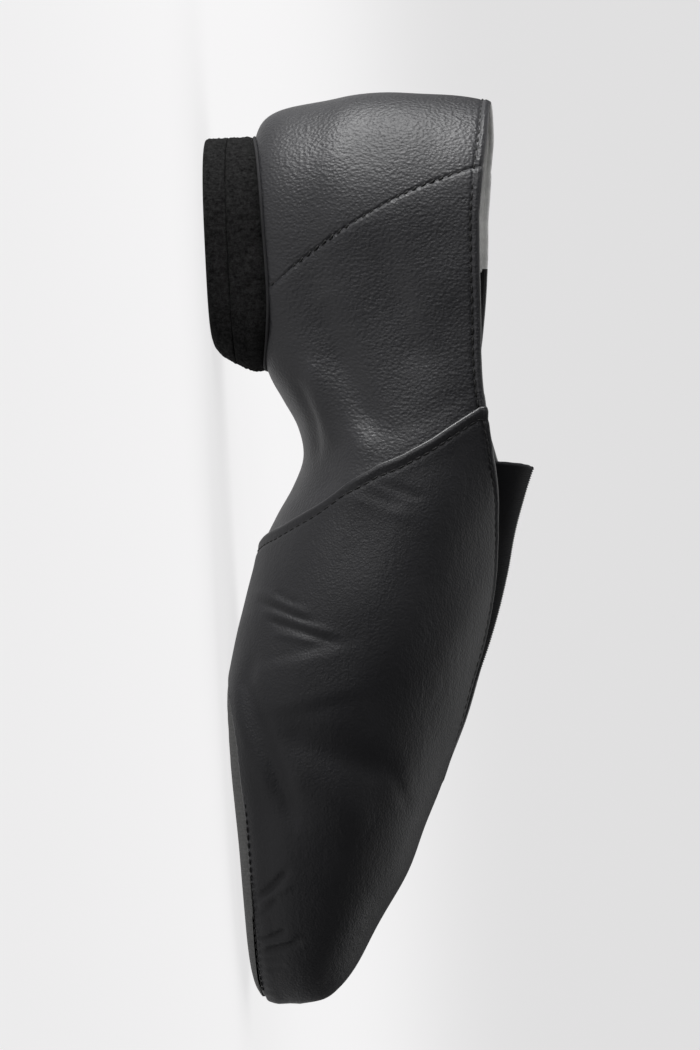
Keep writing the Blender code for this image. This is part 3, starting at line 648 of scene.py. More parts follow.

# %% [markdown]
# Wrinkles tell that leather is soft. Each one is drawn in the shoe's own sizes: a line of points
# in the side view, a width and a depth, negative for a trough and positive for a ridge. Distance to the
# line fades the depth like a soft bell. The inner side follows the photo; the hidden outer side gets
# calmer ones of the same kind. Slow swells from seeded waves keep the wall between the wrinkles from
# looking like a machined part.

# %% Creases
# Side (-1 inner, 1 outer), width and depth in mm, points x and z in mm from the heel and from the floor
CREASES = (
    (-1, 9.0, -1.0, ((56, 30), (74, 36), (95, 44))),
    (-1, 4.5, 0.8, ((70, 26), (84, 29), (97, 32))),
    (-1, 3.0, -0.8, ((76, 22), (88, 26.5), (100, 27))),
    (-1, 8.0, -0.5, ((40, 46), (58, 52), (78, 56))),
    (-1, 4.0, -0.5, ((104, 29), (109, 40), (114, 50))),
    (-1, 3.4, 0.4, ((107, 33), (112, 44), (117, 54))),
    (-1, 1.6, -0.5, ((134, 15), (136, 18), (138, 21.5))),
    (-1, 2.2, 0.45, ((133.5, 9), (136.5, 16), (141, 25))),
    (-1, 1.8, -0.55, ((136, 9.5), (139, 17), (143, 26))),
    (-1, 2.0, 0.45, ((138.5, 11), (142, 20), (146.5, 32))),
    (-1, 1.8, -0.55, ((141, 12), (144.2, 21), (149, 33))),
    (-1, 1.8, 0.35, ((145, 14), (146.5, 20), (148, 26))),
    (-1, 5.0, -1.3, ((147, 9), (158, 6.5), (169, 9.5), (180, 13), (190, 16), (200, 18))),
    (-1, 3.5, 0.5, ((154, 3.5), (166, 5), (178, 8.5), (190, 11.5))),
    (-1, 9.0, -1.2, ((171, 13), (177, 28), (185, 46))),
    (-1, 10.0, 0.7, ((183, 15), (190, 28), (198, 38))),
    (-1, 3.0, -0.3, ((181, 43.5), (188, 45.5), (195, 47.5))),
    (-1, 1.5, -1.1, ((216, 6.2), (213.5, 10), (208.5, 15.5))),
    (-1, 1.6, 0.45, ((218.5, 5.6), (215.5, 11), (212.5, 16))),
    (-1, 1.0, -0.6, ((221.0, 6), (219.0, 9), (216.0, 12))),
    (-1, 1.2, -1.1, ((227.5, 5.8), (227.0, 9), (225.0, 13.5))),
    (-1, 1.4, 0.5, ((228.2, 6), (227.8, 12), (227.0, 17))),
    (-1, 1.3, -1.1, ((230.5, 6.2), (230.0, 11), (228.6, 17.5))),
    (-1, 22.0, 0.9, ((150, 22), (166, 25))),
    (-1, 8.0, -0.45, ((66, 33), (84, 40), (101, 52))),
    (-1, 7.0, 0.3, ((72, 28), (90, 34), (104, 45))),
    (-1, 1.6, -0.5, ((105, 42), (108.5, 50), (111.5, 57))),
    (-1, 1.1, -0.4, ((233, 6.6), (232.6, 10), (232.0, 13))),
    (-1, 1.1, -0.4, ((236, 7.2), (235.6, 10), (235.0, 12.5))),
    (1, 9.0, -0.9, ((58, 32), (76, 38), (96, 44))),
    (1, 3.5, 0.5, ((72, 26), (86, 29), (99, 31))),
    (1, 2.6, -0.5, ((106, 32), (111, 42), (116, 50))),
    (1, 1.6, -0.45, ((139, 13), (143, 21), (148, 30))),
    (1, 1.5, 0.4, ((142, 13), (146, 21), (151, 29))),
    (1, 2.4, -0.7, ((150, 8), (166, 7), (184, 8.5), (202, 12))),
    (1, 10.0, -0.6, ((170, 20), (182, 30), (197, 41))),
    (1, 1.5, -0.6, ((217, 6), (214, 10), (211, 15))),
    (1, 1.3, -0.5, ((224, 6.2), (223, 10), (222, 14))),
    (1, 1.2, -0.5, ((230, 6.6), (229.5, 10), (229, 14))),
)


def line_distance(px, pz, line):
    """Distance from points to a line of segments in the side view, and how far along it, 0 to 1."""
    best = np.full(px.shape, 1e9)
    along = np.zeros(px.shape)
    total = sum(math.dist(a, b) for a, b in zip(line, line[1:]))
    done = 0.0
    for (ax, az), (bx, bz) in zip(line, line[1:]):
        span = math.dist((ax, az), (bx, bz))
        t = np.clip(((px - ax) * (bx - ax) + (pz - az) * (bz - az)) / span**2, 0.0, 1.0)
        d = np.hypot(px - ax - t * (bx - ax), pz - az - t * (bz - az))
        closer = d < best
        best = np.where(closer, d, best)
        along = np.where(closer, (done + t * span) / total, along)
        done += span
    return best, along


def creases(points):
    """Height of all creases at points of the surface, in metres."""
    x = points[:, 0] * 1000
    z = points[:, 2] * 1000
    side = np.where(points[:, 1] - column(points[:, 0], 6) * BALL_WIDTH < 0, -1, 1)
    height = np.zeros(len(points))
    for which, width, depth, line in CREASES:
        d, along = line_distance(x, z, line)
        ends = smooth(along / 0.25 + 0.15) * smooth((1.0 - along) / 0.25 + 0.15)
        height += np.where(side == which, bell(d, 0.5 * width) * ends * depth * 0.001, 0.0)
    return height


WAVE_COUNT = 26
WAVES = np.random.default_rng(7).normal(size=(WAVE_COUNT, 3))
WAVE_PHASE = np.random.default_rng(8).uniform(0, 6.28, WAVE_COUNT)


def lumps(points, size, depth):
    """Slow, uneven swells of worked leather: a sum of waves in fixed seeded directions."""
    total = np.zeros(len(points))
    for direction, phase in zip(WAVES, WAVE_PHASE):
        total += np.sin(points @ (direction * 2.4 / size) + phase)
    return total / math.sqrt(WAVE_COUNT / 2) * depth


print("creases:", len(CREASES))

# %% [markdown]
# The heel and the two sides behind are the quarters. On the real shoe they are lasted wet over a form,
# glued to the seat and folded over at the collar. The surface runs round the back in a fan and forwards
# in leaning columns, and ends a little in front of the vamp seam, where the vamp hides it.

# %% Quarters and counter
ROWS_UP = 80
EDGE_ROWS = 22
plain = np.linspace(0.0, 0.945, ROWS_UP)
near_edge = 1.0 - 0.055 * np.linspace(1.0, 0.0, EDGE_ROWS + 1)[1:] ** 1.3
ROW_SHARES = np.concatenate([plain, near_edge])


def fan_columns(side, turns):
    """Columns round the back of the heel."""
    end = back_angle(turns, side)
    return heel_point(turns[:, None], side, BOTTOM + (end[:, None] - BOTTOM) * ROW_SHARES[None, :])


def flank_columns(side, xs):
    """Columns of a side from the seat or the sole seam up to the collar or the throat."""
    end = top_column(xs, side)
    start = sole_angle(leaned(xs, BOTTOM), side)
    angle = np.maximum(start[:, None], BOTTOM + (end[:, None] - BOTTOM) * ROW_SHARES[None, :])
    return section(leaned(xs[:, None], angle), side, angle)


def edge_distance(grid):
    """For a grid of columns, the length along each column from its last point."""
    step = np.linalg.norm(np.diff(grid, axis=1), axis=2)
    back = np.cumsum(step[:, ::-1], axis=1)[:, ::-1]
    return np.concatenate([back, np.zeros((grid.shape[0], 1))], axis=1)


turns = np.linspace(0.0, math.pi / 2, 62)[:-1]
QUARTER_END = SEAM_MIDDLE + 0.007
quarter_x = np.linspace(HEEL_CENTRE, QUARTER_END, 112)


def quarter_side(side):
    """One side of the quarters, with its distances to the collar and to the vamp seam."""
    fan = fan_columns(side, turns)
    grid = np.concatenate([fan, flank_columns(side, quarter_x)])
    ahead = np.concatenate([np.full(len(fan), -1.0), quarter_x - SEAM_MIDDLE])
    return grid, (edge_distance(grid), np.repeat(ahead, len(ROW_SHARES)))


quarter_points, quarter_faces, (quarter_edge, quarter_ahead) = both_sides(quarter_side, flip=1)

# %% [markdown]
# The bare surface becomes leather when it gets its relief: a roll at the folded collar, a valley under the
# stitches, the step at the counter seam, and the creases. Relief that bends the whole wall moves its
# inside too; relief of the skin alone doesn't.

# %% Relief and wall of the quarters
# Rolls and valleys: height, distance from the edge, width, all in metres
COLLAR_STITCH = 0.0019
COLLAR_ROLL = (0.00026, 0.0008, 0.0007)
COLLAR_VALLEY = (-0.00024, COLLAR_STITCH, 0.0005)
# Slow swells: size and depth in metres
SWELLS = (0.017, 0.00020)
BROAD_SWELLS = (0.034, 0.00042)
BROAD_FROM = 0.100
ARCH_FROM = 0.085
SEAT_GLUE = 0.0006
SEWN_DOWN = 0.0020
LEFT_AT_SEAM = 0.12


def roll(distance, height, place, width):
    """A soft roll along an edge, or a valley where the height is below nothing."""
    return height * bell(distance - place, width)


def collar_fold(edge):
    """A folded edge: a roll at the rim and a shallow valley where the stitches pull it down."""
    return roll(edge, *COLLAR_ROLL) + roll(edge, *COLLAR_VALLEY)


def counter_step(points):
    """The quarter lies over the counter along one curved seam and is pulled down by its stitches."""
    x, y, z = points.T * 1000
    seam_z, seam_x = np.array(COUNTER_SEAM)[::-1, ::-1].T
    d = line_distance(x, z, COUNTER_SEAM)[0]
    lap = np.where(x < np.interp(z, seam_z, seam_x), 0.0, 0.00030 * bell(d, 7.0))
    return np.where(np.abs(y) > 4.0, lap - 0.00016 * bell(d, 0.9), 0.0)


def body(points, ahead):
    """Creases and slow swells of the wall; none where it is glued down or sewn to the next panel."""
    held = smooth((points[:, 2] - SEAT_HEIGHT - SEAT_GLUE) / 0.003)
    held = np.where(points[:, 0] > ARCH_FROM, 1.0, held)
    free = LEFT_AT_SEAM + (1.0 - LEFT_AT_SEAM) * smooth((np.abs(ahead) - SEWN_DOWN) / 0.0075)
    broad = lumps(points[:, ::-1], *BROAD_SWELLS) * smooth((points[:, 0] - BROAD_FROM) / 0.03)
    return (creases(points) + lumps(points, *SWELLS) + broad) * held * free


bend = body(quarter_points, quarter_ahead)
skin = collar_fold(quarter_edge) + counter_step(quarter_points)
skin *= smooth((quarter_points[:, 2] - SEAT_HEIGHT) / 0.002)
quarter_sheet, quarter_sheet_faces, kinds = thick_sheet(
    quarter_points, quarter_faces, bend + skin, WALL - bend)
# The inside is suede as far forwards as the frayed end of the heel lining, black from there on
SUEDE_END = 0.0488
middle_x = np.array([quarter_sheet[list(f), 0].mean() for f in quarter_sheet_faces])
kinds = np.array(kinds)
kinds = np.where((kinds >= 2) & (middle_x < SUEDE_END), 3, np.where(kinds == 3, 1, kinds))
looks = [quarter_leather, edge_leather, black_lining, grey_suede]
quarters = make_mesh("quarters", quarter_sheet, quarter_sheet_faces, looks, kinds)
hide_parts("upper")

# %% [markdown]
# The vamp is the big front panel. Its rear edge is folded and sewn down over the quarters, so it stands
# proud by one thickness of leather, and that proud edge catches the light. Its columns begin on the seam
# and crowd together there, because a fold half a millimetre round needs points a tenth apart. They are
# finer again where wrinkles are.

# %% Vamp
seam_steps = np.array([0.0, 0.12, 0.28, 0.5, 0.8, 1.2, 1.7, 2.2, 2.7, 3.2, 3.8, 4.6, 5.5]) * 0.001
WRINKLES_FROM = 0.53 * LENGTH
WRINKLES_TO = 0.63 * LENGTH
TOE_FROM = 0.83 * LENGTH
TIP_FROM = 0.9 * LENGTH
even = np.concatenate([
    np.arange(SEAM_MIDDLE + 0.0065, WRINKLES_FROM, 0.0011),
    np.arange(WRINKLES_FROM, WRINKLES_TO, 0.0007),
    np.arange(WRINKLES_TO, TOE_FROM, 0.0012),
    np.arange(TOE_FROM, TIP_FROM, 0.0006),
])
tip = LENGTH * (1.0 - 0.1 * (1.0 - np.linspace(0.0, 1.0, 54)[1:]) ** 1.6)
special = np.array([SOLE_BACK + 1e-6, THROAT_TIP])
vamp_x = np.unique(np.concatenate([SEAM_MIDDLE + seam_steps, even, [TIP_FROM], tip, special]))
# Stitches and relief of the vamp: height, distance from the throat edge or the vamp seam, width
THROAT_STITCH = 0.0015
VAMP_STITCH = 0.0031
THROAT_ROLL = (0.00018, 0.0006, 0.0006)
THROAT_VALLEY = (-0.00018, THROAT_STITCH, 0.0005)
SEAM_BEAD = (0.00030, 0.0009, 0.0008)
SEAM_VALLEY = (-0.00030, VAMP_STITCH, 0.0006)
SOLE_PUFF = (0.00045, 0.0022, 0.0020)
GATHER_HEIGHT = 0.00010
GATHER_PITCH = 0.0022


def vamp_side(side):
    """One side of the vamp, with its distances to the throat edge and to the vamp seam."""
    grid = flank_columns(side, vamp_x)
    from_edge = edge_distance(grid)
    from_edge[vamp_x >= THROAT_TIP] = 1.0
    return grid, (from_edge, np.repeat(vamp_x - SEAM_MIDDLE, len(ROW_SHARES)))


vamp_points, vamp_faces, (vamp_edge, vamp_ahead) = both_sides(vamp_side, flip=1)


def vamp_relief(points, edge, ahead):
    """How far the vamp's skin stands out: lap, folded bead, stitch valleys and the gathered sole seam."""
    at_seam = lap_height(ahead) + roll(ahead, *SEAM_BEAD) + roll(ahead, *SEAM_VALLEY)
    at_throat = at_seam + roll(edge, *THROAT_ROLL) + roll(edge, *THROAT_VALLEY)
    above = points[:, 2] - level_on(SOLE_SEAM, points[:, 0]) * INSTEP_HEIGHT
    front = smooth((points[:, 0] - 0.66 * LENGTH) / (0.03 * LENGTH))
    wave = GATHER_HEIGHT * np.sin(points[:, 0] * 2 * math.pi / GATHER_PITCH)
    return at_throat + roll(above, *SOLE_PUFF) * front + wave * bell(above, GATHER_PITCH) * front


bend = body(vamp_points, vamp_ahead)
skin = vamp_relief(vamp_points, vamp_edge, vamp_ahead)
# Over the quarters the vamp is only skin; ahead of them it has the whole wall
depth = -HAIR + (WALL + HAIR) * smooth((vamp_ahead - 0.0085) / 0.003)
points, faces, kinds = thick_sheet(vamp_points, vamp_faces, bend + skin, depth - bend, reach=0.8)
kinds = np.where(np.array(kinds) == 3, 1, kinds)
vamp = make_mesh("vamp", points, faces, [vamp_leather, edge_leather, black_lining], kinds)
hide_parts("upper")

# %% [markdown]
# The elastic is woven with rubber cords across the foot, and every cord shows as a rib 0.6 mm wide. Real
# ribs are cheap here: a cosine wave along the length of a fine grid. The band is tucked under both vamp
# edges, and bulges a little where nothing holds it down.

# %% Elastic in the throat
GORE_END = 0.797 * LENGTH
GORE_TOP = 0.424 * LENGTH
GORE_SLANT = 0.0155 * LENGTH
OVERLAP = 0.005
ELASTIC_BULGE = 0.0024
ELASTIC_DEPTH = 0.0011
RIB = 0.00060
RIB_RISE = 0.00017
POINTS_PER_RIB = 5
long_count = int((GORE_END - GORE_TOP) / RIB * POINTS_PER_RIB)
across = np.linspace(-1.0, 1.0, 31)
share = np.broadcast_to(across, (long_count + 1, len(across)))
begin = GORE_TOP - GORE_SLANT * share**2
along = np.linspace(0.0, 1.0, long_count + 1)[:, None]
gx = begin + (GORE_END - begin) * along
gside = np.where(share < 0, -1, 1)
gap = throat_gap(gx, gside)
want = np.abs(share) * (gap + OVERLAP)
middle = section(gx, gside, np.full(gx.shape, TOP))[..., 1]
angle = solve(lambda a: np.abs(section(gx, gside, a)[..., 1] - middle), want, 0.0, TOP)
tucked = WALL + lap_height(gx - SEAM_MIDDLE) + 0.0003
tucked = tucked + 0.00045 * smooth((gx - 0.52 * LENGTH) / (0.10 * LENGTH))
margin = gap - want - 0.0012
depth = tucked - (tucked - 0.2 * WALL) * smooth(margin / 0.006)
depth = depth - ELASTIC_BULGE * smooth((THROAT_TIP - gx) / (0.36 * LENGTH)) * smooth(margin / 0.0096)
grid = section(gx, gside, angle, depth)
points, polygons, (rib_x,) = weld(grid.reshape(-1, 3), quads(*grid.shape[:2]), [gx.reshape(-1)])
rib = RIB_RISE * np.cos(rib_x * 2 * math.pi / RIB)
sheet = thick_sheet(points, polygons, rib, np.full(len(rib), ELASTIC_DEPTH), 4)
elastic = make_mesh("ribbed_elastic", *sheet[:2], [elastic_look])
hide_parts("elastic_gore")

# %% [markdown]
# The front sole is a suede patch. Its side shows as a thin strip under the vamp, pressed with fine
# upright ribs by the sewing foot, and its underside is flat where the shoe stands on it.

# %% Front sole
sole_x = np.unique(np.concatenate([
    SOLE_BACK + np.array([0.6, 0.8, 1.2, 1.8, 2.6, 3.6, 4.8]) * 0.001,
    np.arange(SOLE_BACK + 0.006, 0.94 * LENGTH, 0.0009),
    np.linspace(0.94 * LENGTH, 0.9915 * LENGTH, 26),
]))


def rim_angle(x, side):
    """Rim of the sole, a hair inside the leather."""
    opened = sole_angle(x, side, SOLE_BACK + 0.0005)
    ahead = np.minimum(LENGTH, x + 0.0010)
    middle = section(x, side, BOTTOM)[..., 1]
    leather = section(ahead, side, sole_angle(ahead, side))[..., 1]
    limit = np.abs(leather - section(ahead, side, BOTTOM)[..., 1])
    tighter = solve(lambda a: np.abs(section(x, side, a)[..., 1] - middle), limit, BOTTOM, 0.0)
    here = np.abs(section(x, side, opened)[..., 1] - middle)
    opened = np.where((x > 0.90 * LENGTH) & (limit < here), tighter, opened)
    run = np.linalg.norm(section(x, side, opened) - section(x, side, opened - 0.01), axis=-1) / 0.01
    return np.maximum(BOTTOM, opened - 0.00036 / np.maximum(run, 1e-6))

# %% [markdown]
# The patch is closed from two grids with the same outline: the underside, pressed flat where it meets the
# floor, and the upper face, which rises to the seam. Strips of faces round the outline join them.

# %% Faces of the front sole
HALF_ROWS = 24
shares = np.sin(np.linspace(0.0, 1.0, HALF_ROWS + 1) * math.pi / 2)
low_rows = []
for side in (-1, 1):
    rim = rim_angle(sole_x, side)
    low_rows.append(section(sole_x[:, None], side, BOTTOM + (rim[:, None] - BOTTOM) * shares[None, :]))
under = np.concatenate([low_rows[0][:, ::-1], low_rows[1][:, 1:]], axis=1)
under[..., 2] = np.maximum(0.0, under[..., 2])
rims = np.minimum(under[:, 0, 2], under[:, -1, 2])
top_level = np.maximum(rims, under[:, HALF_ROWS, 2] + 0.0016)
over = under.copy()
over[..., 2] = np.maximum(under[..., 2], top_level[:, None])
columns, rows = under.shape[:2]
flat = np.vstack([under.reshape(-1, 3), over.reshape(-1, 3)])
total = columns * rows
faces = [quads(columns, rows, 0), quads(columns, rows, total, flip=True)]
for j in (0, rows - 1):
    a = np.arange(columns - 1) * rows + j
    wall = np.stack([a, a + total, a + rows + total, a + rows], axis=1)
    faces.append(wall if j else wall[:, ::-1])
for i in (0, columns - 1):
    a = i * rows + np.arange(rows - 1)
    wall = np.stack([a, a + 1, a + 1 + total, a + total], axis=1)
    faces.append(wall if i else wall[:, ::-1])
points, polygons = weld(flat, np.vstack(faces), [])[:2]
front_sole = make_mesh("front_sole", points, polygons, [sole_suede])
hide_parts("forefoot_sole")

# %% [markdown]
# The sock lies inside on the seat and is hardly seen. Its measured mesh already has the right form, so it
# stays and only gets its finish. That is the cheapest way to carry a hidden piece over.

# %% Sock
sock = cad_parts["insole"].data
sock.materials.clear()
sock.materials.append(sock_look)
print("insole keeps its measured mesh and gets", sock_look.name)

# %% [markdown]
# The heel is a block of two layers, cut to one outline and covered with short fuzz. It is stacked from
# rings: each ring is round behind and squarer in front, and its front slopes back towards the floor like
# a real heel breast. A little seeded unevenness in every ring turns a clean edge into a fuzzy one.

# %% Outline of the heel block
LIFT_HEIGHT = 0.0061
HEEL_HALF_WIDTH = 0.0255
HEEL_BACK = 0.0103
# Front of the block from the floor up: height and reach in front of HEEL_CENTRE, as shares of LENGTH
BREAST = np.array([
    (0.0000, 0.1150), (0.0020, 0.1205), (0.0069, 0.1270), (0.0171, 0.1345), (0.0260, 0.1395),
    (0.0382, 0.1450), (0.0600, 0.1490),
])
ROUND = 180
round_turn = np.linspace(0.0, 2.0 * math.pi, ROUND, endpoint=False)


def heel_ring(height, shrink=0.0):
    """Ring of the block at a height: round behind, squarer and longer in front."""
    c = np.abs(np.cos(round_turn))
    s = np.abs(np.sin(round_turn))
    ahead = np.cos(round_turn) > 0
    n = np.where(ahead, 3.8, 2.35)
    r = (c**n + s**n) ** (-1.0 / n)
    front = level_on(BREAST, height) * LENGTH - shrink
    reach = np.where(ahead, front, -(HEEL_CENTRE - HEEL_BACK - shrink))
    y = np.copysign((HEEL_HALF_WIDTH - shrink) * s * r, np.sin(round_turn))
    return np.stack([HEEL_CENTRE + reach * c * r, y, np.full(ROUND, height)], axis=1)


def fuzzed(ring, seed, depth=0.00013):
    """Pile of the cover: a fine seeded unevenness, level with the floor."""
    away = ring - [HEEL_CENTRE, 0.0, 0.0]
    away[:, 2] = 0.0
    return ring + unit(away) * np.random.default_rng(seed).normal(size=(ROUND, 1)) * depth


def stack(rings):
    """A closed block from rings, lowest first."""
    faces = []
    for level in range(len(rings) - 1):
        a = level * ROUND + np.arange(ROUND)
        b = level * ROUND + (np.arange(ROUND) + 1) % ROUND
        faces.append(np.stack([a, b, b + ROUND, a + ROUND], axis=1))
    out = [tuple(f) for f in np.vstack(faces)]
    out.append(tuple(reversed(range(ROUND))))
    out.append(tuple(range((len(rings) - 1) * ROUND, len(rings) * ROUND)))
    return np.vstack(rings), out

# %% [markdown]
# The lower layer is flat on both faces, with slightly rounded edges. The upper one is cupped: its top
# rings are pushed up to a hair below the leather of the seat, which a ray from below finds, so no gap
# shows at the joint.

# %% Lift and base of the heel
def edge_levels(low, high, count):
    """Heights from a rounded lower edge to a rounded upper edge, and how far the ring draws in at each."""
    bevel = 0.0005
    curve = [(bevel * (1 - math.cos(t)), bevel * (1 - math.sin(t))) for t in np.linspace(0, math.pi / 2, 4)]
    under = [(low + rise, draw) for rise, draw in curve]
    over = [(high - rise, draw) for rise, draw in curve[::-1]]
    between = [(z, 0.0) for z in np.linspace(low + bevel, high - bevel, count + 2)[1:-1]]
    return under + between + over


def heel_rings(levels, seed):
    """Rings at the levels, fuzzy except just over the floor, where wear smooths them."""
    rings = [heel_ring(z, draw) for z, draw in levels]
    return [fuzzed(ring, seed + i) if ring[0, 2] > 0.0006 else ring for i, ring in enumerate(rings)]


lift_points, lift_faces = stack(heel_rings(edge_levels(0.0, LIFT_HEIGHT, 9), 40))
heel_lift = make_mesh("heel_bottom_layer", lift_points, lift_faces, [heel_look])
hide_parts("heel_lift")

seat_faces = [tuple(int(v) for v in f) for f in quarter_sheet_faces]
seat_tree = BVHTree.FromPolygons(quarter_sheet.tolist(), seat_faces)


def under_seat(ring, gap):
    """The ring pushed up to just under the leather of the seat."""
    out = ring.copy()
    for i, p in enumerate(ring):
        hit = seat_tree.ray_cast(Vector((p[0], p[1], -0.05)), Vector((0.0, 0.0, 1.0)))[0]
        out[i, 2] = (hit.z if hit is not None else SEAT_HEIGHT) - gap
    return out


HEEL_RIM = 0.0008
top_ring = heel_ring(SEAT_HEIGHT - HEEL_RIM)
base_rings = heel_rings(edge_levels(LIFT_HEIGHT + HAIR, SEAT_HEIGHT - HEEL_RIM, 8)[:-3], 60)
middle = np.array([HEEL_CENTRE + 0.004, 0.0, 0.0])
for share in (0.985, 0.93, 0.80, 0.60, 0.35, 0.12):
    base_rings.append(under_seat(middle + (top_ring - middle) * [share, share, 1.0], 0.0002))
base_points, base_faces = stack(base_rings)
heel_base = make_mesh("heel_top_layer", base_points, base_faces, [heel_look])
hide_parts("heel_base")

# %% [markdown]
# A rand is a thin cord laid round the joint of heel and upper to hide it. A round tube along the top ring
# of the block does it. The height of the ring is averaged along its length, so the cord doesn't follow
# every wrinkle.

# %% Rand over the heel
RAND_RADIUS = 0.00045
RAND_AVERAGE = 13


def cord(path, radius, sides=8):
    """Points and faces of a round cord along a closed path."""
    ahead = unit(np.roll(path, -1, 0) - np.roll(path, 1, 0))
    across = unit(np.cross(ahead, (0.0, 0.0, 1.0)))
    up = np.cross(across, ahead)
    turn = np.linspace(0, 2 * math.pi, sides, endpoint=False)[None, :, None]
    ring = path[:, None] + radius * (across[:, None] * np.cos(turn) + up[:, None] * np.sin(turn))
    faces = []
    for i in range(len(path)):
        a = i * sides
        c = (i + 1) % len(path) * sides
        faces += [(a + j, a + (j + 1) % sides, c + (j + 1) % sides, c + j) for j in range(sides)]
    return ring.reshape(-1, 3), faces


rand_path = under_seat(middle + (top_ring - middle) * [0.992, 0.992, 1.0], 0.0004)
wrapped = np.pad(rand_path[:, 2], RAND_AVERAGE // 2, "wrap")
rand_path[:, 2] = np.convolve(wrapped, np.ones(RAND_AVERAGE) / RAND_AVERAGE, "valid")
rand_points, rand_faces = cord(rand_path, RAND_RADIUS)
rand = make_mesh("heel_rand", rand_points, rand_faces, [black_lining])

# %% [markdown]
# Inside, a light grey suede lining grips the heel and ends in a raw cut edge; a smooth black lining goes
# on from there. Both are thin sheets that hug the inside of the quarters, so they use the same fan and
# columns, set deeper.

# %% Linings
LINING_DEPTH = WALL + 0.0004
LINING_THICKNESS = 0.0006
LINING_ROWS = 40
BACK_ARM = 0.034
FLANK_ARM = 0.036


def lining_sheet(x_from, x_to, top_drop, bottom_share, turned):
    """A lining between two places, round the back too if turned; top_drop is its distance from the rim."""
    share = np.linspace(0.0, 1.0, LINING_ROWS)

    def angles(end, arm):
        start = BOTTOM + (end - BOTTOM) * bottom_share
        return start[:, None] + (end - top_drop / arm - start)[:, None] * share

    def one_side(side):
        parts = []
        if turned:
            t = np.linspace(0.0, math.pi / 2, 40)[:-1]
            angle = angles(back_angle(t, side), BACK_ARM)
            parts.append(heel_point(t[:, None], side, angle, LINING_DEPTH))
        xs = np.linspace(x_from, x_to, 46)
        angle = angles(top_column(xs, side), FLANK_ARM)
        parts.append(section(leaned(xs[:, None], angle), side, angle, LINING_DEPTH))
        return np.concatenate(parts), ()

    return both_sides(one_side, flip=-1)[:2]


def lining(name, points, polygons, relief, look):
    """Grows a lining that follows the creases of the wall it lies on."""
    bend = body(points, np.full(len(points), -1.0))
    sheet = thick_sheet(points, polygons, relief - bend, LINING_THICKNESS + bend, 3)
    return make_mesh(name, *sheet[:2], [look])


points, polygons = lining_sheet(HEEL_CENTRE, 0.0495, 0.0002, 0.22, True)
fray = 0.00035 * np.sin(points[:, 2] * 2100) + 0.00025 * np.sin(points[:, 2] * 5300 + 1.0)
points[:, 0] += np.where(points[:, 0] > 0.0485, fray, 0.0)
heel_lining = lining("heel_lining", points, polygons, 0.0, grey_suede)

points, polygons = lining_sheet(0.0492, SEAM_MIDDLE - 0.0185, 0.0003, 0.80, False)
welt = 0.00025 * np.cos((points[:, 2] - points[:, 0] * 0.01) * 2 * math.pi / 0.0013)
binding = lining("collar_binding", points, polygons, welt, black_lining)

# %% [markdown]
# Stitches are what the eye reads as made by hand. One stitch is a short capsule, pressed a little into
# the leather. Each seam is a line on the surface; stitches are set along it at an even pitch and joined
# into one mesh.

# %% Stitches
NEXT_TO = 0.0002
STITCH_SHARE = 0.78
STITCH_LIFT = 0.00002


def spaced(path, outward, pitch):
    """Places at an even pitch along a path, with the directions along it and outwards."""
    run = np.concatenate([[0.0], np.cumsum(np.linalg.norm(np.diff(path, axis=0), axis=1))])
    at = np.arange(pitch * 0.5, run[-1], pitch)
    ahead = between_rows(at + NEXT_TO, run, path) - between_rows(at - NEXT_TO, run, path)
    return between_rows(at, run, path), unit(ahead), between_rows(at, run, outward)


def capsule(length, radius, sides=7):
    """A stitch along X, arched a little, with small flat ends sunk in the leather."""
    t = np.array([-0.5, -0.42, -0.25, 0.0, 0.25, 0.42, 0.5])
    size = np.array([0.25, 0.8, 1.0, 1.0, 1.0, 0.8, 0.25]) * radius
    drop = -0.9 * radius * (2 * np.abs(t)) ** 3
    turn = np.linspace(0, 2 * math.pi, sides, endpoint=False)
    points = [(length * x, r * math.cos(a), r * math.sin(a) + z)
              for x, r, z in zip(t, size, drop) for a in turn]
    faces = []
    for a in range(0, 6 * sides, sides):
        b = a + sides
        faces += [(b + j, b + (j + 1) % sides, a + (j + 1) % sides, a + j) for j in range(sides)]
    lids = [tuple(range(sides)), tuple(reversed(range(6 * sides, 7 * sides)))]
    return np.array(points), faces + lids


stitch_points, stitch_faces = [], []


def sew(path, outward, pitch, radius=0.00022, slant=0.0):
    """Stitches along a path of points; outward is the leather's direction at each of them."""
    place, ahead, up = spaced(path, outward, pitch)
    along = unit(ahead + slant * np.cross(up, ahead))
    beside = unit(np.cross(up, along))
    shape, faces = capsule(STITCH_SHARE * pitch, radius)
    for p, x, y, n in zip(place, along, beside, np.cross(along, beside)):
        base = len(stitch_points) * len(shape)
        stitch_points.append(p + n * STITCH_LIFT + shape[:, :1] * x + shape[:, 1:2] * y + shape[:, 2:] * n)
        stitch_faces.extend(tuple(v + base for v in f) for f in faces)
    return len(place)


def outward_at(points, surface, normals):
    """For each point, the direction of the nearest point of a surface."""
    return np.array([normals[np.argmin(((surface - p) ** 2).sum(1))] for p in points])


def below_edge(grid, distance):
    """Points at a distance below the top of each column of a grid."""
    runs = edge_distance(grid)
    return np.array([[np.interp(-distance, -run, values) for values in rows.T]
                     for run, rows in zip(runs, grid)])

# %% [markdown]
# Five seams show on each side: collar, counter, vamp, throat and sole. The counter's stitches lie at a
# slant, as a zigzag machine sets them. The others run straight along their edges.

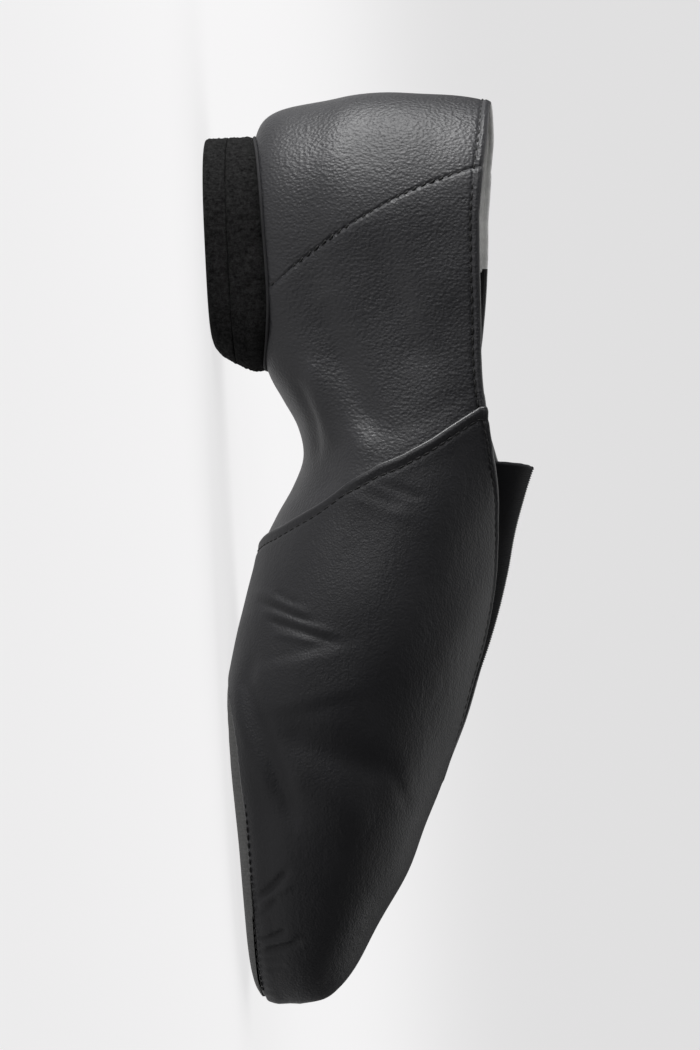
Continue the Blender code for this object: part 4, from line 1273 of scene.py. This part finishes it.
# %% Sew the seams
quarter_normals = normals_of(quarter_points, quarter_faces)
vamp_normals = normals_of(vamp_points, vamp_faces)
counts = {}
for side in (-1, 1):
    # collar, round the back and along the quarter
    flank = flank_columns(side, quarter_x[quarter_x < SEAM_MIDDLE - 0.001])
    path = below_edge(np.concatenate([fan_columns(side, turns), flank]), COLLAR_STITCH)
    n = outward_at(path, quarter_points, quarter_normals)
    counts["collar", side] = sew(path - n * 0.00006, n, 0.0028, radius=0.0003)
    # counter seam, short of the collar and of the seat
    seam = np.array(COUNTER_SEAM) * 0.001
    dense = between_rows(np.linspace(0, 1, 90), np.linspace(0, 1, len(seam)), seam)
    dense = dense[(dense[:, 1] < 0.0712) & (dense[:, 1] > SEAT_HEIGHT + 0.003)]
    cloud = quarter_points[quarter_points[:, 1] * side > 0.010]
    near = np.array([np.argmin((cloud[:, 0] - x) ** 2 + (cloud[:, 2] - z) ** 2) for x, z in dense])
    path = cloud[near].copy()
    path[:, [0, 2]] = dense
    n = outward_at(path, quarter_points, quarter_normals)
    counts["counter", side] = sew(path + n * 0.00012, n, 0.0026, radius=0.00032, slant=0.32)
    # vamp seam
    x = np.full(len(ROW_SHARES), SEAM_MIDDLE + VAMP_STITCH)
    end = top_column(x[:1], side)[0]
    a = BOTTOM + (end - BOTTOM) * ROW_SHARES
    path = section(leaned(x, a), side, a)[3:-5]
    n = outward_at(path, vamp_points, vamp_normals)
    counts["vamp", side] = sew(path + n * (VAMP_STEP - 0.00026), n, 0.0026)
    # throat edge
    xs = vamp_x[(vamp_x > SEAM_MIDDLE + 0.003) & (vamp_x < THROAT_TIP - 0.001)]
    path = below_edge(flank_columns(side, xs), THROAT_STITCH)
    n = outward_at(path, vamp_points, vamp_normals)
    counts["throat", side] = sew(path + n * lap_height(xs - SEAM_MIDDLE)[:, None], n, 0.0024)
    # sole seam
    xs = np.linspace(0.655 * LENGTH, 0.984 * LENGTH, 240)
    path = section(xs, side, sole_angle(xs, side) + 0.02)
    n = outward_at(path, vamp_points, vamp_normals)
    counts["sole", side] = sew(path + n * 0.00034, n, 0.0022)
stitches = make_mesh("stitches", np.vstack(stitch_points), stitch_faces, [thread_look])
print("stitches per seam:", counts)

# %% [markdown]
# The studio is one wide sheet of pale paper, so wide that it fills the picture up to its last edge and no
# wall is needed. Its glow is painted light: it shines like a lamp under and behind the shoe, lights the
# shoe from below and fades towards the camera, so that it doesn't light the front of the shoe.

# %% Floor
glowing_paper, tree, shader = finish("glowing_floor", (0.26, 0.258, 0.26), 0.9, 0.0)
# Painted light: the sheet glows like a lamp, weaker towards the camera, and lights the shoe from below
shader.inputs["Emission Color"].default_value = (1.0, 0.995, 1.0, 1.0)
glow = ranged(tree, axis(tree, "Y"), 0.30, 0.74, -3.0, -1.4)
tree.links.new(glow, shader.inputs["Emission Strength"])
sheet_x, sheet_y = np.meshgrid([-9.0, 9.0], np.linspace(-3.2, 16.0, 9), indexing="ij")
paper_points = np.stack([sheet_x.ravel(), sheet_y.ravel(), np.zeros(sheet_x.size)], axis=1)
paper_points = np.vstack([paper_points, paper_points - [0.0, 0.0, 0.02]])
paper_faces = np.vstack([quads(2, 9), quads(2, 9, 18, flip=True)])
floor = make_mesh("glowing_floor", paper_points, paper_faces, [glowing_paper], ride=False)
floor.location.z = -0.00002

# %% [markdown]
# Soft boxes stand over the shoe, low behind its heel and high in front. The front stays darkest, which is
# how black leather gets its shape in a photo: bright rims and a quiet middle.

# %% Lights
def soft_box(name, place, aim, width, height, power):
    """A rectangular lamp at a place, turned to its aim."""
    data = bpy.data.lights.new(name, "AREA")
    data.shape = "RECTANGLE"
    data.size = width
    data.size_y = height
    data.energy = power
    lamp = bpy.data.objects.new(name, data)
    lamp.location = place
    lamp.rotation_euler = (Vector(aim) - Vector(place)).to_track_quat("-Z", "Y").to_euler()
    bpy.context.scene.collection.objects.link(lamp)


soft_box("over_the_shoe", (0.0, 0.40, 0.80), (0.0, 0.0, 0.03), 1.6, 0.8, 6.0)
soft_box("behind_the_heel", (-0.80, -0.20, 0.06), (-0.09, 0.0, 0.015), 0.5, 0.11, 10.0)
soft_box("high_in_front", (-0.95, -1.25, 0.60), (-0.06, 0.0, 0.05), 0.7, 0.5, 6.5)
world = bpy.context.scene.world or bpy.data.worlds.new("world")
bpy.context.scene.world = world
world.use_nodes = True
sky = world.node_tree.nodes["Background"]
sky.inputs["Color"].default_value = (0.9, 0.9, 0.92, 1.0)
sky.inputs["Strength"].default_value = 0.03
print("lights:", [lamp.name for lamp in bpy.data.lights])

# %% [markdown]
# The photo shows the shoe stood on its toe. The model stands on its sole, so the camera is rolled
# instead: its right is the shoe's up and its down is the way to the toe. It looks at the inner side, a
# touch from above.

# %% Camera
ELEVATION = math.radians(3.6)
LEAN = 0.048
DISTANCE = 2.20
FRAME_HEIGHT = 0.2832
forward = Vector((0.0, math.cos(ELEVATION), -math.sin(ELEVATION)))
shoe_up = Vector((0.0, math.sin(ELEVATION), math.cos(ELEVATION)))
toe = Vector((1.0, 0.0, 0.0))
upright = math.sqrt(1 - LEAN**2)
right = (toe * LEAN + shoe_up * upright).normalized()
up = (shoe_up * LEAN - toe * upright).normalized()
target = Vector((-0.0059, -0.020, 0.0353))
data = bpy.data.cameras.new("camera")
data.sensor_fit = "VERTICAL"
data.sensor_height = 36.0
data.lens = 36.0 * DISTANCE / FRAME_HEIGHT
camera = bpy.data.objects.new("camera", data)
bpy.context.scene.collection.objects.link(camera)
place = target - forward * DISTANCE
camera.matrix_world = Matrix((
    (right.x, up.x, -forward.x, place.x),
    (right.y, up.y, -forward.y, place.y),
    (right.z, up.z, -forward.z, place.z),
    (0.0, 0.0, 0.0, 1.0),
))
bpy.context.scene.camera = camera
bpy.context.scene.view_settings.view_transform = "Standard"
print("camera height over the floor:", round(place.z, 3))
